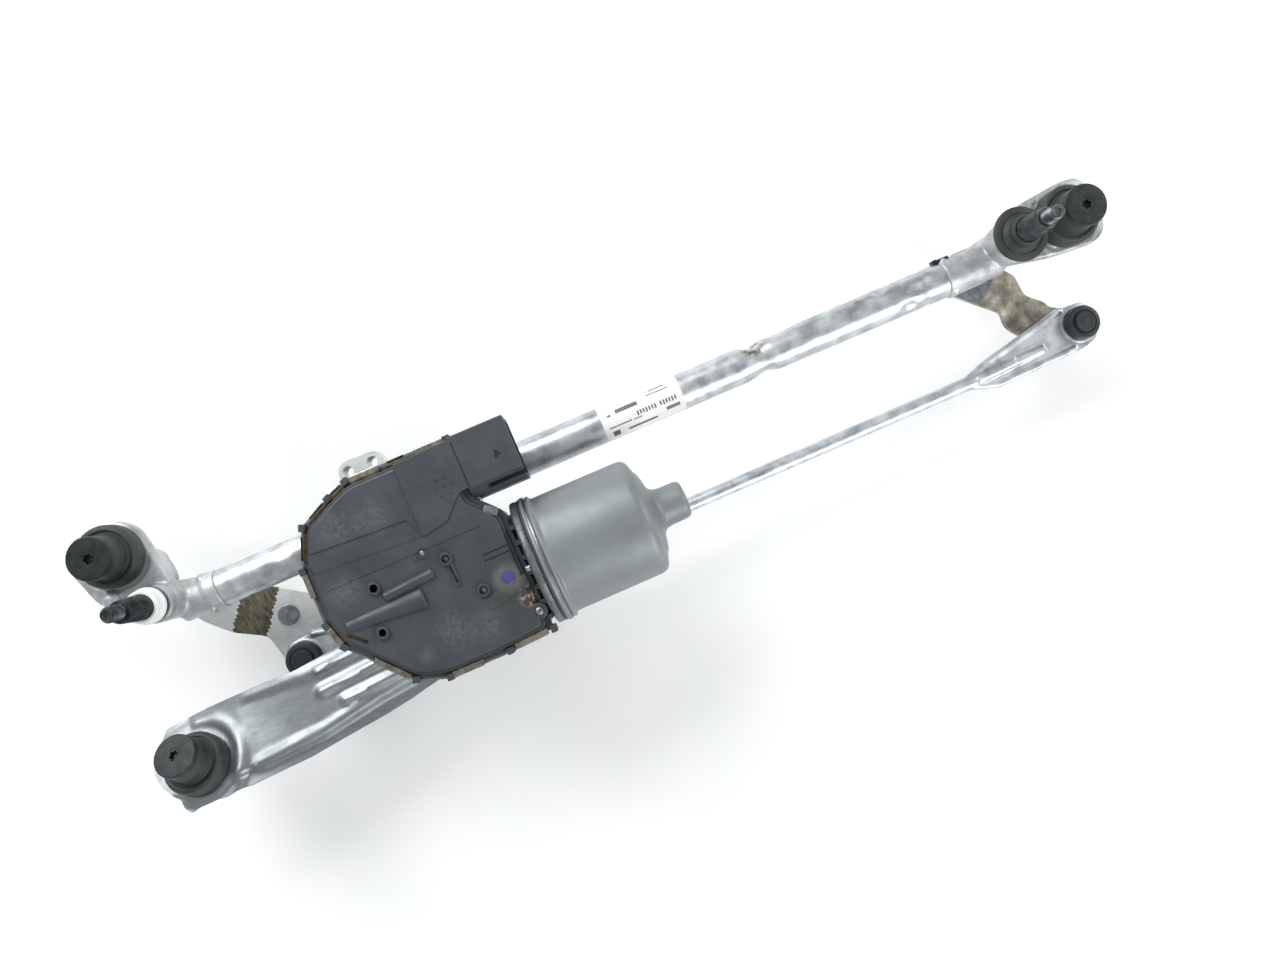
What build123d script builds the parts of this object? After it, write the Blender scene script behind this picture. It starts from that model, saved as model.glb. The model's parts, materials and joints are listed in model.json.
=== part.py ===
from build123d import *

import math
import os

# A windshield wiper drive: a tube frame with a cast pivot housing at each end, a pressed bracket
# arm, a worm-geared motor with its electronics cover, and the linkage that turns both spindles.
# Millimetres. Everything is drawn about the left spindle's axis at the height of the tube's axis:
# +X runs along the tube to the right spindle, +Z up the spindles. move_home() then shifts each
# piece so that the origin is the left body bolt's axis, in the plane that rests on the vehicle.

# ---------------------------------------------------------------- frame
spindle_span = 493.0          # left spindle axis to right spindle axis
tube_y = -4.0                 # the tube's axis runs this far in front of the spindles
tube_od = 20.0
tube_wall = 1.5
left_collar = 26.0            # left spindle axis to the tube's end
right_collar = 36.0           # right spindle axis to the tube's end
spigot_length = 26.0          # how far a pivot housing reaches into the tube
spigot_gap = 0.05
crimp_depth = 0.8             # ring crimps that lock the tube on its spigots
crimp_width = 4.0
waist_x = 341.5               # the tube's pressed waist
waist_od = 17.0
waist_length = 17.0
label_start = 248.0
label_length = 47.0
label_sweep = 150.0           # degrees of the tube that the label wraps
label_thickness = 0.2

# ---------------------------------------------------------------- spindles and pivot housings
spindle_r = 6.5
running_gap = 0.03            # radial clearance of every shaft in its bush
bush_wall = 1.3
bush_length = 12.0
barrel_wall = 2.17            # cast wall round the bushes
barrel_bottom = -29.0
barrel_top = 28.0
thrust_washer = 1.5
circlip_thickness = 1.2
cone_bottom = 42.0            # knurled cone that grips the wiper arm
cone_top = 62.0
cone_step = 0.1               # the cone's foot is this much smaller in radius than the spindle
cone_taper = 0.7              # radius lost from its foot to its top
stud_r = 4.0                  # M8 thread
stud_length = 12.0
ear_bottom = 8.0
ear_top = 16.0
collar_wall = 2.1             # white collar over the left circlip
boot_brim = 8.5               # rubber boot over the right circlip: brim beyond the spindle
boot_wall = 1.3

# ---------------------------------------------------------------- body mounts
left_mount = (-13.0, 32.0)
right_mount_reach = 34.0      # right spindle axis to the right body bolt
seat_z = 3.0                  # height of the plane that rests on the vehicle
lower_mount = (-21.0, -93.3, -10.3)   # seat centre of the third mount, on the bracket arm
lower_tilt = 28.0             # degrees that its axis leans back
bolt_r = 3.0                  # M6 thread
bolt_neck_r = 2.6             # waisted shank inside the sleeve
bolt_reach = 20.0             # shank that stands out below the seat
bolt_head_r = 11.25
bolt_head = 4.0
star_r = 2.6
star_depth = 2.5
sleeve_r = 5.0
sleeve_gap = 0.5
sleeve_length = 35.0
sleeve_foot_r = 9.0
sleeve_foot = 1.5
grommet_hole_r = 10.5         # hole of an ear, gripped by the grommet's groove
grommet_flange_r = 16.5
grommet_flange_top = 23.0     # above the seat
grommet_neck_r = 11.5
grommet_lower_r = 14.0
grommet_lip = 3.5

# ---------------------------------------------------------------- linkage
lever_thickness = 3.0
lever_drop = 6.0              # joggle between a lever's root and its outer plate
lever_arm = (42.5, -58.0)     # spindle to long-rod ball, the same on both levers
drive_arm = (40.0, -31.0)     # spindle to short-rod ball, the same on the crank
ball_r = 6.5
ball_gap = 0.06
ball_neck = 2.5               # pin between the plate's face and the ball
pin_r = 4.0
pin_head_r = 6.0
pin_head = 1.5
socket_wall = 3.5
rod_r = 4.2
rod_flat = 3.0
rod_flat_width = 26.0
rod_joggle = -6.5             # the long rod's straight part runs this far in front of its balls
rod_flat_length = 75.0
rod_hole_r = 1.75
short_rod_width = 15.0

# ---------------------------------------------------------------- gear train
shaft_x = 126.0               # output shaft
shaft_y = -26.0
output_r = 6.0
module = 1.25
wheel_teeth = 44
worm_pitch_r = 4.5
worm_turns = 7
worm_bearing = (98.0, 104.0)  # the armature's bearing beyond the worm
neck_start = 178.0            # the housing's round neck starts here
neck_r = 28.0
thread_width = 1.3            # worm thread at its pitch radius
wheel_gap_width = 2.3         # tooth gap of the wheel at its pitch radius
wheel_bottom = 22.0
wheel_top = 34.0
motor_z = 28.0                # height of the motor's axis
crank_thickness = 5.0
crank_end_r = 11.0

# ---------------------------------------------------------------- gear housing and cover
cover_outline = [
    (90.0, 4.0), (107.0, 12.5), (118.0, 17.0), (172.0, 17.0), (172.0, -14.0), (184.0, -27.0),
    (184.0, -91.0), (160.0, -92.5), (128.0, -92.5), (112.0, -87.0), (86.0, -58.0), (82.0, -45.0),
    (82.0, -16.0),
]
tube_cover = 2.0              # housing floor above the tube's top
housing_wall = 3.0
housing_top = 43.5
seal_thickness = 1.0
rim_top = 47.0
cover_top = 52.0
cover_wall = 2.0
boss_wall = 3.5
boss_bottom = -16.0
flange_r = 33.5
flange_start = 186.0
flange_end = 190.5
saddle_xs = (104.0, 146.0)
saddle_width = 8.0
screw_places = [(108.0, -72.0), (165.0, -80.0), (146.0, 13.0)]
screw_r = 3.0
screw_head_r = 5.0
screw_head = 4.0
bracket_thickness = 2.5
lug_spacing = 13.2
lug_hole_r = 2.75
lug_x = 124.3
lug_y = 23.2
lug_z = 18.5
lug_thickness = 2.0

# ---------------------------------------------------------------- connector
connector_x = (172.0, 202.0)
connector_y = (-16.5, 17.0)
connector_z = (25.0, 53.0)
connector_wall = 2.5
socket_depth = 20.0
terminal_count = 4

# ---------------------------------------------------------------- motor
yoke_r = 31.5
yoke_wall = 1.6
yoke_end = 251.0
yoke_flange_r = 34.0
yoke_flange = 5.0
gasket = 1.0
nose_r = 10.25
nose_end = 272.0
magnet_r = 24.0
core_r = 23.0
core_start = 213.0
core_end = 240.0
slots = 12
armature_r = 4.0
commutator_r = 9.0

# ---------------------------------------------------------------- worked-out places
tube_r = tube_od / 2
tube_bore = tube_r - tube_wall
tube_start = left_collar
tube_end = spindle_span - right_collar
bush_r = spindle_r + running_gap + bush_wall
barrel_r = bush_r + barrel_wall
collar_r = spindle_r + collar_wall
boot_r = spindle_r + boot_brim
boot_hub_r = spindle_r + boot_wall
cone_r_bottom = spindle_r - cone_step
cone_r_top = cone_r_bottom - cone_taper
right_mount = (spindle_span + right_mount_reach, 0.0)
housing_floor = tube_r + tube_cover
plate_top = -tube_r - spigot_gap
boss_r = output_r + boss_wall
socket_r = ball_r + socket_wall
ball_stand = ball_r + ball_neck
root_top = barrel_bottom - thrust_washer
root_bottom = root_top - lever_thickness
plate_z_top = root_top - lever_drop
plate_z_bottom = plate_z_top - lever_thickness
rod_ball_z = plate_z_top + ball_stand
drive_ball_z = plate_z_bottom - ball_stand
wheel_pitch_r = module * wheel_teeth / 2
motor_y = shaft_y - wheel_pitch_r - worm_pitch_r
lead = math.pi * module
lead_angle = math.degrees(math.atan(lead / (2 * math.pi * worm_pitch_r)))
yoke_start = flange_end + gasket
left_ball = lever_arm
right_ball = (spindle_span + lever_arm[0], lever_arm[1])
left_drive_ball = drive_arm
crank_ball = (shaft_x + drive_arm[0], shaft_y + drive_arm[1])


# ---------------------------------------------------------------- small helpers
def post(x, y, z0, z1, r):
    """An upright cylinder."""
    solid = Cylinder(r, z1 - z0, align=(Align.CENTER, Align.CENTER, Align.MIN))
    return Pos(x, y, z0) * solid


def bar(y, z, x0, x1, r):
    """A cylinder along X."""
    solid = Cylinder(r, x1 - x0, align=(Align.CENTER, Align.CENTER, Align.MIN))
    return Pos(x0, y, z) * Rot(0, 90, 0) * solid


def block(x0, x1, y0, y1, z0, z1):
    solid = Box(x1 - x0, y1 - y0, z1 - z0, align=(Align.MIN, Align.MIN, Align.MIN))
    return Pos(x0, y0, z0) * solid


def outline_face(points, corner=0.0, grow=0.0):
    """A flat face from an outline, grown or shrunk, with its corners rounded."""
    face = make_face(Polyline(*points, close=True))
    if grow:
        face = offset(face, amount=grow, kind=Kind.INTERSECTION)
    if corner:
        face = fillet(face.vertices(), corner)
    return face


def prism(points, z0, z1, corner=0.0, grow=0.0):
    return Pos(0, 0, z0) * extrude(outline_face(points, corner, grow), z1 - z0)


def turned(points):
    """A solid turned about Z from (radius, height) points."""
    return revolve(Plane.XZ * make_face(Polyline(*points, close=True)), Axis.Z)


def turned_x(points, y=0.0, z=0.0):
    """A solid turned about a line along X from (x, radius) points."""
    return Pos(0, y, z) * revolve(make_face(Polyline(*points, close=True)), Axis.X)


def move_home(shape):
    return Pos(-left_mount[0], -left_mount[1], -seat_z) * shape


def save(name, *solids):
    """Writes one piece, or a group of like pieces, to its own file."""
    placed = [move_home(solid) for solid in solids]
    shape = placed[0] if len(placed) == 1 else Compound(children=placed)
    export_step(shape, f"parts/{name}.step")


# ---------------------------------------------------------------- tube frame
def crimp_span(end, direction):
    """The stretch of tube that is pressed into the spigot's groove."""
    middle = end + direction * spigot_length / 2
    return middle - crimp_width / 2, middle + crimp_width / 2


def tube_wave(x_from, x_to, r):
    """(x, radius) points along the tube's wall, dipping at the crimps and the waist."""
    first = crimp_span(tube_start, 1)
    last = crimp_span(tube_end, -1)
    waist = (waist_x - waist_length / 2, waist_x + waist_length / 2)
    slope = 2.0
    points = [(x_from, r)]
    for (a, b), depth in ((first, crimp_depth), (waist, (tube_od - waist_od) / 2), (last, crimp_depth)):
        if a - slope > x_from and b + slope < x_to:
            points += [(a - slope, r), (a, r - depth), (b, r - depth), (b + slope, r)]
    return points + [(x_to, r)]


def frame_tube():
    outer = tube_wave(tube_start, tube_end, tube_r)
    inner = tube_wave(tube_start, tube_end, tube_bore)
    return turned_x(outer + inner[::-1], tube_y)


def tube_label():
    ring = bar(tube_y, 0, label_start, label_start + label_length, tube_r + label_thickness)
    ring -= bar(tube_y, 0, label_start - 1, label_start + label_length + 1, tube_r)
    low = tube_r * math.cos(math.radians(label_sweep / 2))
    return ring & block(label_start, label_start + label_length, tube_y - 15, tube_y + 15, low, 15)


def spigot(end, direction, collar_from):
    """Collar, and the spigot inside the tube, of a pivot housing."""
    r = tube_bore - spigot_gap
    groove = crimp_span(end, direction)
    tip = end + direction * spigot_length
    near, far = (groove if direction > 0 else groove[::-1])
    slope = 2.0 * direction
    points = [
        (collar_from, 0), (collar_from, tube_r + 0.8), (end, tube_r + 0.8), (end, r),
        (near - slope, r), (near, r - crimp_depth), (far, r - crimp_depth), (far + slope, r),
        (tip - slope / 2, r), (tip, r - 1), (tip, 0),
    ]
    return turned_x(points, tube_y)


def pivot_housing(x, tube_face, direction, ear, mount, gusset):
    """A cast housing: spindle barrel, spigot for the tube and an ear for the body bolt."""
    body = post(x, 0, barrel_bottom, barrel_top, barrel_r)
    body += spigot(tube_face, direction, x + 2 * direction)
    body += prism(ear, ear_bottom, ear_top, corner=5.0)
    body += prism(gusset, ear_bottom - 8, ear_bottom, corner=2.0)
    body -= post(x, 0, barrel_bottom - 1, barrel_top + 1, bush_r)
    body -= post(*mount, ear_bottom - 20, ear_bottom, grommet_lower_r + 0.5)
    return body - post(*mount, ear_bottom - 20, ear_top + 1, grommet_hole_r)


def left_housing():
    ear = [(-39, 38), (-31, 48), (-9, 51), (2, 43), (8, 12), (9, -6), (-8, -7), (-30, 11)]
    gusset = [(-8, -4), (4, 12), (8, 30), (3, 33), (-4, 14), (-14, 10)]
    return pivot_housing(0.0, tube_start, 1, ear, left_mount, gusset)


def right_housing():
    s = spindle_span
    ear = [(s - 8, 9), (s + 14, 17), (s + 42, 20), (s + 53, 18), (s + 56, -12), (s + 48, -19),
           (s + 22, -17), (s - 6, -11)]
    gusset = [(s, 4), (s + 26, 13), (s + 26, 9), (s + 18, 2), (s + 18, -4), (s + 26, -10), (s, -8)]
    return pivot_housing(s, tube_end, -1, ear, right_mount, gusset)


def spindle_bushes(x):
    ring = post(x, 0, 0, bush_length, bush_r) - post(x, 0, -1, bush_length + 1, spindle_r + running_gap)
    return Pos(0, 0, barrel_bottom) * ring, Pos(0, 0, barrel_top - bush_length) * ring


# ---------------------------------------------------------------- body mounts
def grommet(ear_low, ear_high):
    """Rubber bush gripping an ear between two heights above the seat."""
    neck_top = sleeve_length
    return turned([
        (sleeve_r, sleeve_foot), (sleeve_foot_r, sleeve_foot),
        (grommet_lower_r, ear_low - grommet_lip + 0.5),
        (grommet_lower_r, ear_low), (grommet_hole_r, ear_low),
        (grommet_hole_r, ear_high), (grommet_flange_r, ear_high),
        (grommet_flange_r, grommet_flange_top - 1.5),
        (grommet_flange_r - 1.5, grommet_flange_top), (grommet_neck_r, grommet_flange_top),
        (grommet_neck_r - 0.5, neck_top), (sleeve_r, neck_top),
    ])


def bolt_sleeve():
    hole = bolt_r + sleeve_gap
    return turned([
        (hole, 0), (sleeve_foot_r, 0), (sleeve_foot_r, sleeve_foot), (sleeve_r, sleeve_foot),
        (sleeve_r, sleeve_length), (hole, sleeve_length),
    ])


def body_bolt():
    """Wide-headed bolt with a star recess; its tip stands out below the seat."""
    top = sleeve_length + bolt_head
    bolt = turned([
        (0, -bolt_reach), (bolt_r - 0.8, -bolt_reach), (bolt_r, -bolt_reach + 0.8), (bolt_r, 0),
        (bolt_neck_r, 0), (bolt_neck_r, sleeve_length),
        (bolt_head_r, sleeve_length), (bolt_head_r, top - 0.8), (bolt_head_r - 0.8, top), (0, top),
    ])
    star = [Pos(0, 0, top - star_depth) * Rot(0, 0, turn) * Box(
        2 * star_r, star_r, 2 * star_depth, align=(Align.CENTER, Align.CENTER, Align.MIN))
        for turn in (0, 60, 120)]
    return bolt - star[0] - star[1] - star[2]


lower_place = Pos(*lower_mount) * Rot(-lower_tilt, 0, 0)
mount_places = [Pos(*left_mount, seat_z), Pos(*right_mount, seat_z), lower_place]
pad_height = ear_top - seat_z                     # every ear's upper face, above its seat


# ---------------------------------------------------------------- pressed bracket arm
def arm_section(x, y, z, half, tilt):
    """The sheet's edge across the arm at one place, tilted about X."""
    lean = math.radians(tilt)
    t = bracket_thickness
    upper = [(half, -1.0), (half - 4, 0.0), (6 - half, 0.0), (2.5 - half, -4.0), (-half, -4.0)]
    ring = upper + [(v, w - t) for v, w in reversed(upper)]
    return make_face(Polyline(*[
        (x, y + v * math.cos(lean) + w * math.sin(lean), z - v * math.sin(lean) + w * math.cos(lean))
        for v, w in ring], close=True))


def pad_z(y):
    """Height of the tilted pad's upper face."""
    lean = math.radians(lower_tilt)
    pad_y = lower_mount[1] + pad_height * math.sin(lean)
    return lower_mount[2] + pad_height * math.cos(lean) - (y - pad_y) * math.tan(lean)


def motor_bracket():
    stations = [
        (-46, -84, pad_z(-84), 20, lower_tilt), (-14, -82, pad_z(-82), 24, lower_tilt),
        (10, -82, -1, 25, 18), (44, -82.5, -3, 22.5, 9), (78, -79, -7.5, 20.5, 4),
        (102, -79, plate_top, 18, 0), (114, -79, plate_top, 17, 0),
    ]
    arm = loft([arm_section(*s) for s in stations])
    end = [(-28, -40), (-28, -66), (-38, -74), (-42, -84), (-40, -94), (-34, -100), (-34, -130),
           (130, -130), (130, -40)]
    under_pad = pad_height - bracket_thickness
    arm -= lower_place * post(0, 0, pad_height, pad_height + 12, grommet_flange_r + 1)
    arm -= lower_place * post(0, 0, under_pad - 8, under_pad, grommet_lower_r + 1)
    arm += lower_place * post(0, 0, under_pad, pad_height, grommet_flange_r + 1.5)
    arm = arm & prism(end, -60, 60, corner=2.0)
    plate = prism([
        (100, -62), (100, -92), (128, -91), (172, -88), (176, -72), (146, -40), (158, 6), (156, 21),
        (100, 21), (96, 6), (106, -40),
    ], plate_top - bracket_thickness, plate_top, corner=4.0)
    bracket = arm + plate
    bracket -= lower_place * post(0, 0, -5, pad_height + 8, grommet_hole_r)
    bracket -= post(shaft_x, shaft_y, -20, 0, boss_r + 2.5)
    for x, y in screw_places:
        bracket -= post(x, y, -20, 0, screw_r + 0.3)
        bracket -= post(x, y, plate_top, 5, screw_r + 4)
        under = plate_top - bracket_thickness
        bracket -= post(x, y, under - 8, under, screw_head_r + 0.5)
    return bracket


# ---------------------------------------------------------------- spindles and levers
def spindle(x):
    """Shaft with a riveted foot, a circlip groove, a knurled cone and a threaded tip."""
    clip = barrel_top + thrust_washer
    foot = 2.0
    groove = spindle_r - 0.7
    tip = cone_top + stud_length
    return Pos(x, 0, 0) * turned([
        (0, root_bottom - foot), (spindle_r, root_bottom - foot), (spindle_r, root_bottom),
        (spindle_r - 1.5, root_bottom), (spindle_r - 1.5, root_top), (spindle_r, root_top),
        (spindle_r, clip), (groove, clip), (groove, clip + circlip_thickness),
        (spindle_r, clip + circlip_thickness), (spindle_r, cone_bottom), (cone_r_bottom, cone_bottom),
        (cone_r_top, cone_top), (stud_r, cone_top), (stud_r, tip - 1), (stud_r - 1, tip), (0, tip),
    ])


def ring(x, z0, z1, r_in, r_out):
    return post(x, 0, z0, z1, r_out) - post(x, 0, z0 - 1, z1 + 1, r_in)


def circlip(x):
    clip = barrel_top + thrust_washer
    open_side = block(x - 1.5, x + 1.5, -12, 0, clip - 1, clip + 3)
    return ring(x, clip, clip + circlip_thickness, spindle_r - 0.7, spindle_r + 1.6) - open_side


def spindle_collar():
    low = barrel_top + thrust_washer + circlip_thickness + 0.3
    return turned([(spindle_r, low), (collar_r + 0.8, low), (collar_r + 0.8, low + 3), (collar_r, low + 3),
                   (collar_r, cone_bottom - 2), (spindle_r, cone_bottom - 2)])


def spindle_boot():
    low = barrel_top + thrust_washer + circlip_thickness + 0.3
    return Pos(spindle_span, 0, 0) * turned([
        (spindle_r, low), (boot_r, low), (boot_r, low + 2.2), (boot_hub_r + 1, low + 2.8),
        (boot_hub_r, low + 4), (boot_hub_r, cone_bottom - 1), (spindle_r, cone_bottom - 1)])


def lever(outline, bend_angle, bend_start, bend_end):
    """A pressed lever: flat at the spindle, joggled down to its outer plate."""
    t = lever_thickness
    far = 110.0
    upper = [(-40, root_top), (bend_start, root_top), (bend_end, plate_z_top), (far, plate_z_top)]
    edge = upper + [(x, z - t) for x, z in reversed(upper)]
    sheet = extrude(Plane.XZ * make_face(Polyline(*edge, close=True)), 120, both=True)
    sheet = Rot(0, 0, bend_angle) * sheet
    plate = sheet & prism(outline, plate_z_top - 10, root_top + 5, corner=4.0)
    return plate - post(0, 0, -60, 0, spindle_r - 1.5) - post(*lever_arm, -60, 0, pin_r)


def left_lever():
    outline = [(-7, 10), (9, 9), (40.8, -14.5), (58, -25.5), (62, -38), (55, -60), (46, -70), (34, -68),
               (29, -56), (25, -38), (9, -27.5), (-4, -14.5), (-10, -4)]
    return lever(outline, -36.0, 9.0, 20.0) - post(*drive_arm, -60, 0, pin_r)


def right_lever():
    outline = [(-24, -9), (-12, 10), (9, 10), (12, -6), (20, -17), (20.5, -28), (33, -38), (36, -44),
               (54, -52), (54, -62), (46, -70), (32, -68), (12, -52), (4, -43), (2.6, -33), (-12, -20)]
    return Pos(spindle_span, 0, 0) * lever(outline, -50.0, 30.0, 42.0)


def ball_pin(place, face_z, far_z, up):
    """Ball pin riveted through a plate: the ball stands off face_z, the head is at far_z."""
    stand = abs(far_z - face_z)
    pin = turned([
        (0, -stand - pin_head), (pin_head_r, -stand - pin_head), (pin_head_r, -stand), (pin_r, -stand),
        (pin_r, 0), (pin_head_r, 0), (pin_head_r, 1.2), (pin_r, 1.2), (pin_r, ball_stand), (0, ball_stand)])
    pin += Pos(0, 0, ball_stand) * Sphere(ball_r)
    return Pos(*place, face_z) * (pin if up else Rot(180, 0, 0) * pin)


def ball_socket(place, ball_z, up):
    """Plastic cup snapped over a ball: a shoulder under the rod's eye and a raised cap."""
    low = 0.9 - ball_r
    flat = rod_flat / 2
    shoulder = ball_r + 0.5
    button = socket_r - 4
    cup = turned([
        (0, low), (socket_r - 1, low), (socket_r - 1, -flat), (socket_r - 2, -flat), (socket_r - 2, flat),
        (socket_r, flat), (socket_r, shoulder), (socket_r - 1, shoulder + 1), (button, shoulder + 1),
        (button, shoulder + 2.2), (0, shoulder + 2.2)])
    cup -= Sphere(ball_r + ball_gap)
    cup -= turned([(0, low - 1), (ball_r - 0.4, low - 1), (ball_r - 1.6, low + 3), (0, low + 3)])
    return Pos(*place, ball_z) * (cup if up else Rot(180, 0, 0) * cup)


def long_rod():
    """Round bar with flattened, ribbed eyes; the bar runs in front of the line of its balls."""
    z = rod_ball_z
    run_y = left_ball[1] + rod_joggle
    low_x = left_ball[0] + rod_flat_length
    high_x = right_ball[0] - rod_flat_length
    rod = bar(run_y, z, low_x - 6, high_x + 6, rod_r)
    half = rod_flat_width / 2
    for ball, root, way in ((left_ball, low_x, 1), (right_ball, high_x, -1)):
        eye = [
            (ball[0] - way * 11, ball[1] + 6), (ball[0] - way * 6, ball[1] + half - 1),
            (ball[0] + way * 10, ball[1] + half), (root - way * 12, run_y + half - 4),
            (root + way * 2, run_y + rod_r), (root + way * 2, run_y - rod_r),
            (root - way * 12, run_y - half + 5), (ball[0] + way * 4, ball[1] - half - 2),
            (ball[0] - way * 6, ball[1] - half + 1), (ball[0] - way * 11, ball[1] - 6)]
        rod += prism(eye, z - rod_flat / 2, z + rod_flat / 2, corner=2.0)
        rod -= post(*ball, z - 10, z + 10, socket_r - 2)
    hole_x = high_x + 31
    return rod - post(hole_x, run_y + 2, z - 10, z + 10, rod_hole_r)


def short_rod():
    """Pressed link between the crank's ball and the left lever's."""
    z = drive_ball_z
    dx = crank_ball[0] - left_drive_ball[0]
    dy = crank_ball[1] - left_drive_ball[1]
    length = math.hypot(dx, dy)
    half = short_rod_width / 2
    link = block(0, length, -half, half, -rod_flat / 2, rod_flat / 2)
    for end in (0, length):
        link += post(end, 0, -rod_flat / 2, rod_flat / 2, socket_r + 2.5)
    for side in (-1, 1):
        edge = side * (half - rod_flat / 2)
        link += block(18, length - 18, edge - rod_flat / 2, edge + rod_flat / 2, -5, 0)
    for end in (0, length):
        link -= post(end, 0, -10, 10, socket_r - 2)
    turn = math.degrees(math.atan2(dy, dx))
    return Pos(*left_drive_ball, z) * Rot(0, 0, turn) * link


# ---------------------------------------------------------------- crank and gear train
crank_top = plate_z_bottom + crank_thickness
hub_top = boss_bottom - 4


def crank_arm():
    length = math.hypot(*drive_arm)
    half = crank_end_r - 2
    arm = block(0, length, -half, half, 0, crank_thickness)
    arm += post(0, 0, 0, hub_top - plate_z_bottom, crank_end_r)
    arm += post(length, 0, 0, crank_thickness, crank_end_r)
    arm -= post(0, 0, -1, 30, output_r - 1)
    arm -= post(length, 0, -1, 30, pin_r)
    turn = math.degrees(math.atan2(drive_arm[1], drive_arm[0]))
    return Pos(shaft_x, shaft_y, plate_z_bottom) * Rot(0, 0, turn) * arm


def crank_nut():
    nut = Pos(0, 0, plate_z_bottom - 6.5) * extrude(RegularPolygon(6.5, 6, major_radius=False), 6.5)
    return Pos(shaft_x, shaft_y, 0) * (nut - post(0, 0, -60, 0, stud_r))


def output_shaft():
    low = plate_z_bottom - 8
    return Pos(shaft_x, shaft_y, 0) * turned([
        (0, low), (stud_r, low), (stud_r, plate_z_bottom), (output_r - 1, plate_z_bottom),
        (output_r - 1, hub_top), (output_r, hub_top), (output_r, wheel_top), (0, wheel_top)])


def worm_wheel():
    """Wheel with tilted tooth gaps that clear the worm's thread all the way round."""
    tip = wheel_pitch_r + module
    height = wheel_top - wheel_bottom
    wheel = post(0, 0, wheel_bottom, wheel_top, tip)
    for z0, z1 in ((wheel_bottom - 1, wheel_bottom + 3), (wheel_top - 3, wheel_top + 1)):
        wheel -= post(0, 0, z0, z1, tip - 6) - post(0, 0, z0, z1, 11)
    wheel -= post(0, 0, 0, 60, output_r)
    flank = math.tan(math.radians(20))
    deep = 1.5 * module
    gap = [(-wheel_gap_width / 2 + deep * flank, deep), (wheel_gap_width / 2 - deep * flank, deep),
           (wheel_gap_width / 2 + 2 * flank, -2.0), (-wheel_gap_width / 2 - 2 * flank, -2.0)]
    cutter = extrude(make_face(Polyline(*gap, close=True)), height, both=True)
    cutter = Rot(0, lead_angle, 0) * cutter
    first = Pos(0, -wheel_pitch_r, motor_z) * cutter
    gaps = [Rot(0, 0, 360 * i / wheel_teeth) * first for i in range(wheel_teeth)]
    return Pos(shaft_x, shaft_y, 0) * (wheel - Compound(children=gaps))


def armature_shaft():
    """Steel shaft with a right-hand worm thread in front of the wheel."""
    root = worm_pitch_r - 1.2 * module
    tip = worm_pitch_r + module
    flank = math.tan(math.radians(20))
    start = shaft_x - lead / 4 - (worm_turns // 2) * lead
    path = Helix(pitch=lead, height=worm_turns * lead, radius=root - 0.2)
    wide = thread_width + 2 * flank * (worm_pitch_r - root + 0.2)
    narrow = thread_width - 2 * flank * module
    tooth = make_face(Polyline(
        (root - 0.2, -wide / 2), (tip, -narrow / 2), (tip, narrow / 2), (root - 0.2, wide / 2), close=True))
    thread = sweep(Plane.XZ * tooth, path, is_frenet=True)
    neck = start - 4
    shaft = turned_x([
        (neck - 8, 0), (neck - 8, armature_r), (neck, armature_r), (neck, root),
        (start + worm_turns * lead + 4, root), (start + worm_turns * lead + 4, armature_r),
        (nose_end - 6, armature_r), (nose_end - 6, 0)], motor_y, motor_z)
    return shaft + Pos(start, motor_y, motor_z) * Rot(0, 90, 0) * thread


# ---------------------------------------------------------------- gear housing and cover
def gear_housing():
    tub = prism(cover_outline, housing_floor, housing_top, grow=-1.5)
    tub -= prism(cover_outline, housing_floor + housing_wall, housing_top + 1, grow=-1.5 - housing_wall)
    neck = bar(motor_y, motor_z, neck_start, flange_start, neck_r)
    neck &= block(neck_start, flange_start, motor_y - neck_r, motor_y + neck_r, -neck_r, housing_top)
    tub += neck + bar(motor_y, motor_z, flange_start, flange_end, flange_r)
    tub += post(shaft_x, shaft_y, boss_bottom, housing_floor + housing_wall, boss_r)
    for x, y in screw_places:
        tub += post(x, y, plate_top, housing_floor + 2, screw_r + 3)
    for x in saddle_xs:
        low, high = x - saddle_width / 2, x + saddle_width / 2
        tub += block(low, high, tube_y - housing_floor, tube_y + housing_floor, 1, housing_floor)
    pedestal = block(*worm_bearing, motor_y - 9, motor_y + 9, housing_floor, motor_z + 9)
    tub += pedestal & prism(cover_outline, housing_floor, housing_top, grow=-1.5)
    tub -= bar(tube_y, 0, saddle_xs[0] - saddle_width, saddle_xs[1] + saddle_width, tube_r + spigot_gap)
    tub -= bar(motor_y, motor_z, worm_bearing[0] - 1, flange_end + 1, armature_r + bush_wall + 1)
    tub -= post(shaft_x, shaft_y, boss_bottom - 1, wheel_bottom, output_r + running_gap + bush_wall)
    for x, y in screw_places:
        tub -= post(x, y, plate_top - 1, housing_floor - 2, screw_r)
    return tub


def output_bushes():
    r_in = output_r + running_gap
    tall = 10.0
    low = post(shaft_x, shaft_y, boss_bottom, boss_bottom + tall, r_in + bush_wall)
    high = Pos(0, 0, housing_floor + housing_wall - boss_bottom - tall) * low
    hole = post(shaft_x, shaft_y, boss_bottom - 1, 30, r_in)
    return low - hole, high - hole


def motor_bearings():
    """Plain bearings of the armature: worm end, housing flange and yoke nose."""
    r_out = armature_r + bush_wall + 1
    spans = ((*worm_bearing, r_out), (flange_start - 4, flange_end, r_out),
             (nose_end - 16, nose_end - 7, nose_r - yoke_wall))
    return [bar(motor_y, motor_z, a, b, r) - bar(motor_y, motor_z, a - 1, b + 1, armature_r + running_gap)
            for a, b, r in spans]


def housing_screws():
    under = plate_top - bracket_thickness
    screws = []
    for x, y in screw_places:
        screw = post(x, y, under - screw_head, under, screw_head_r)
        screw += post(x, y, under, housing_floor - 3, screw_r)
        screws.append(screw - Pos(x, y, under - screw_head) * extrude(RegularPolygon(2.5, 6), 2.5))
    return screws


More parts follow.
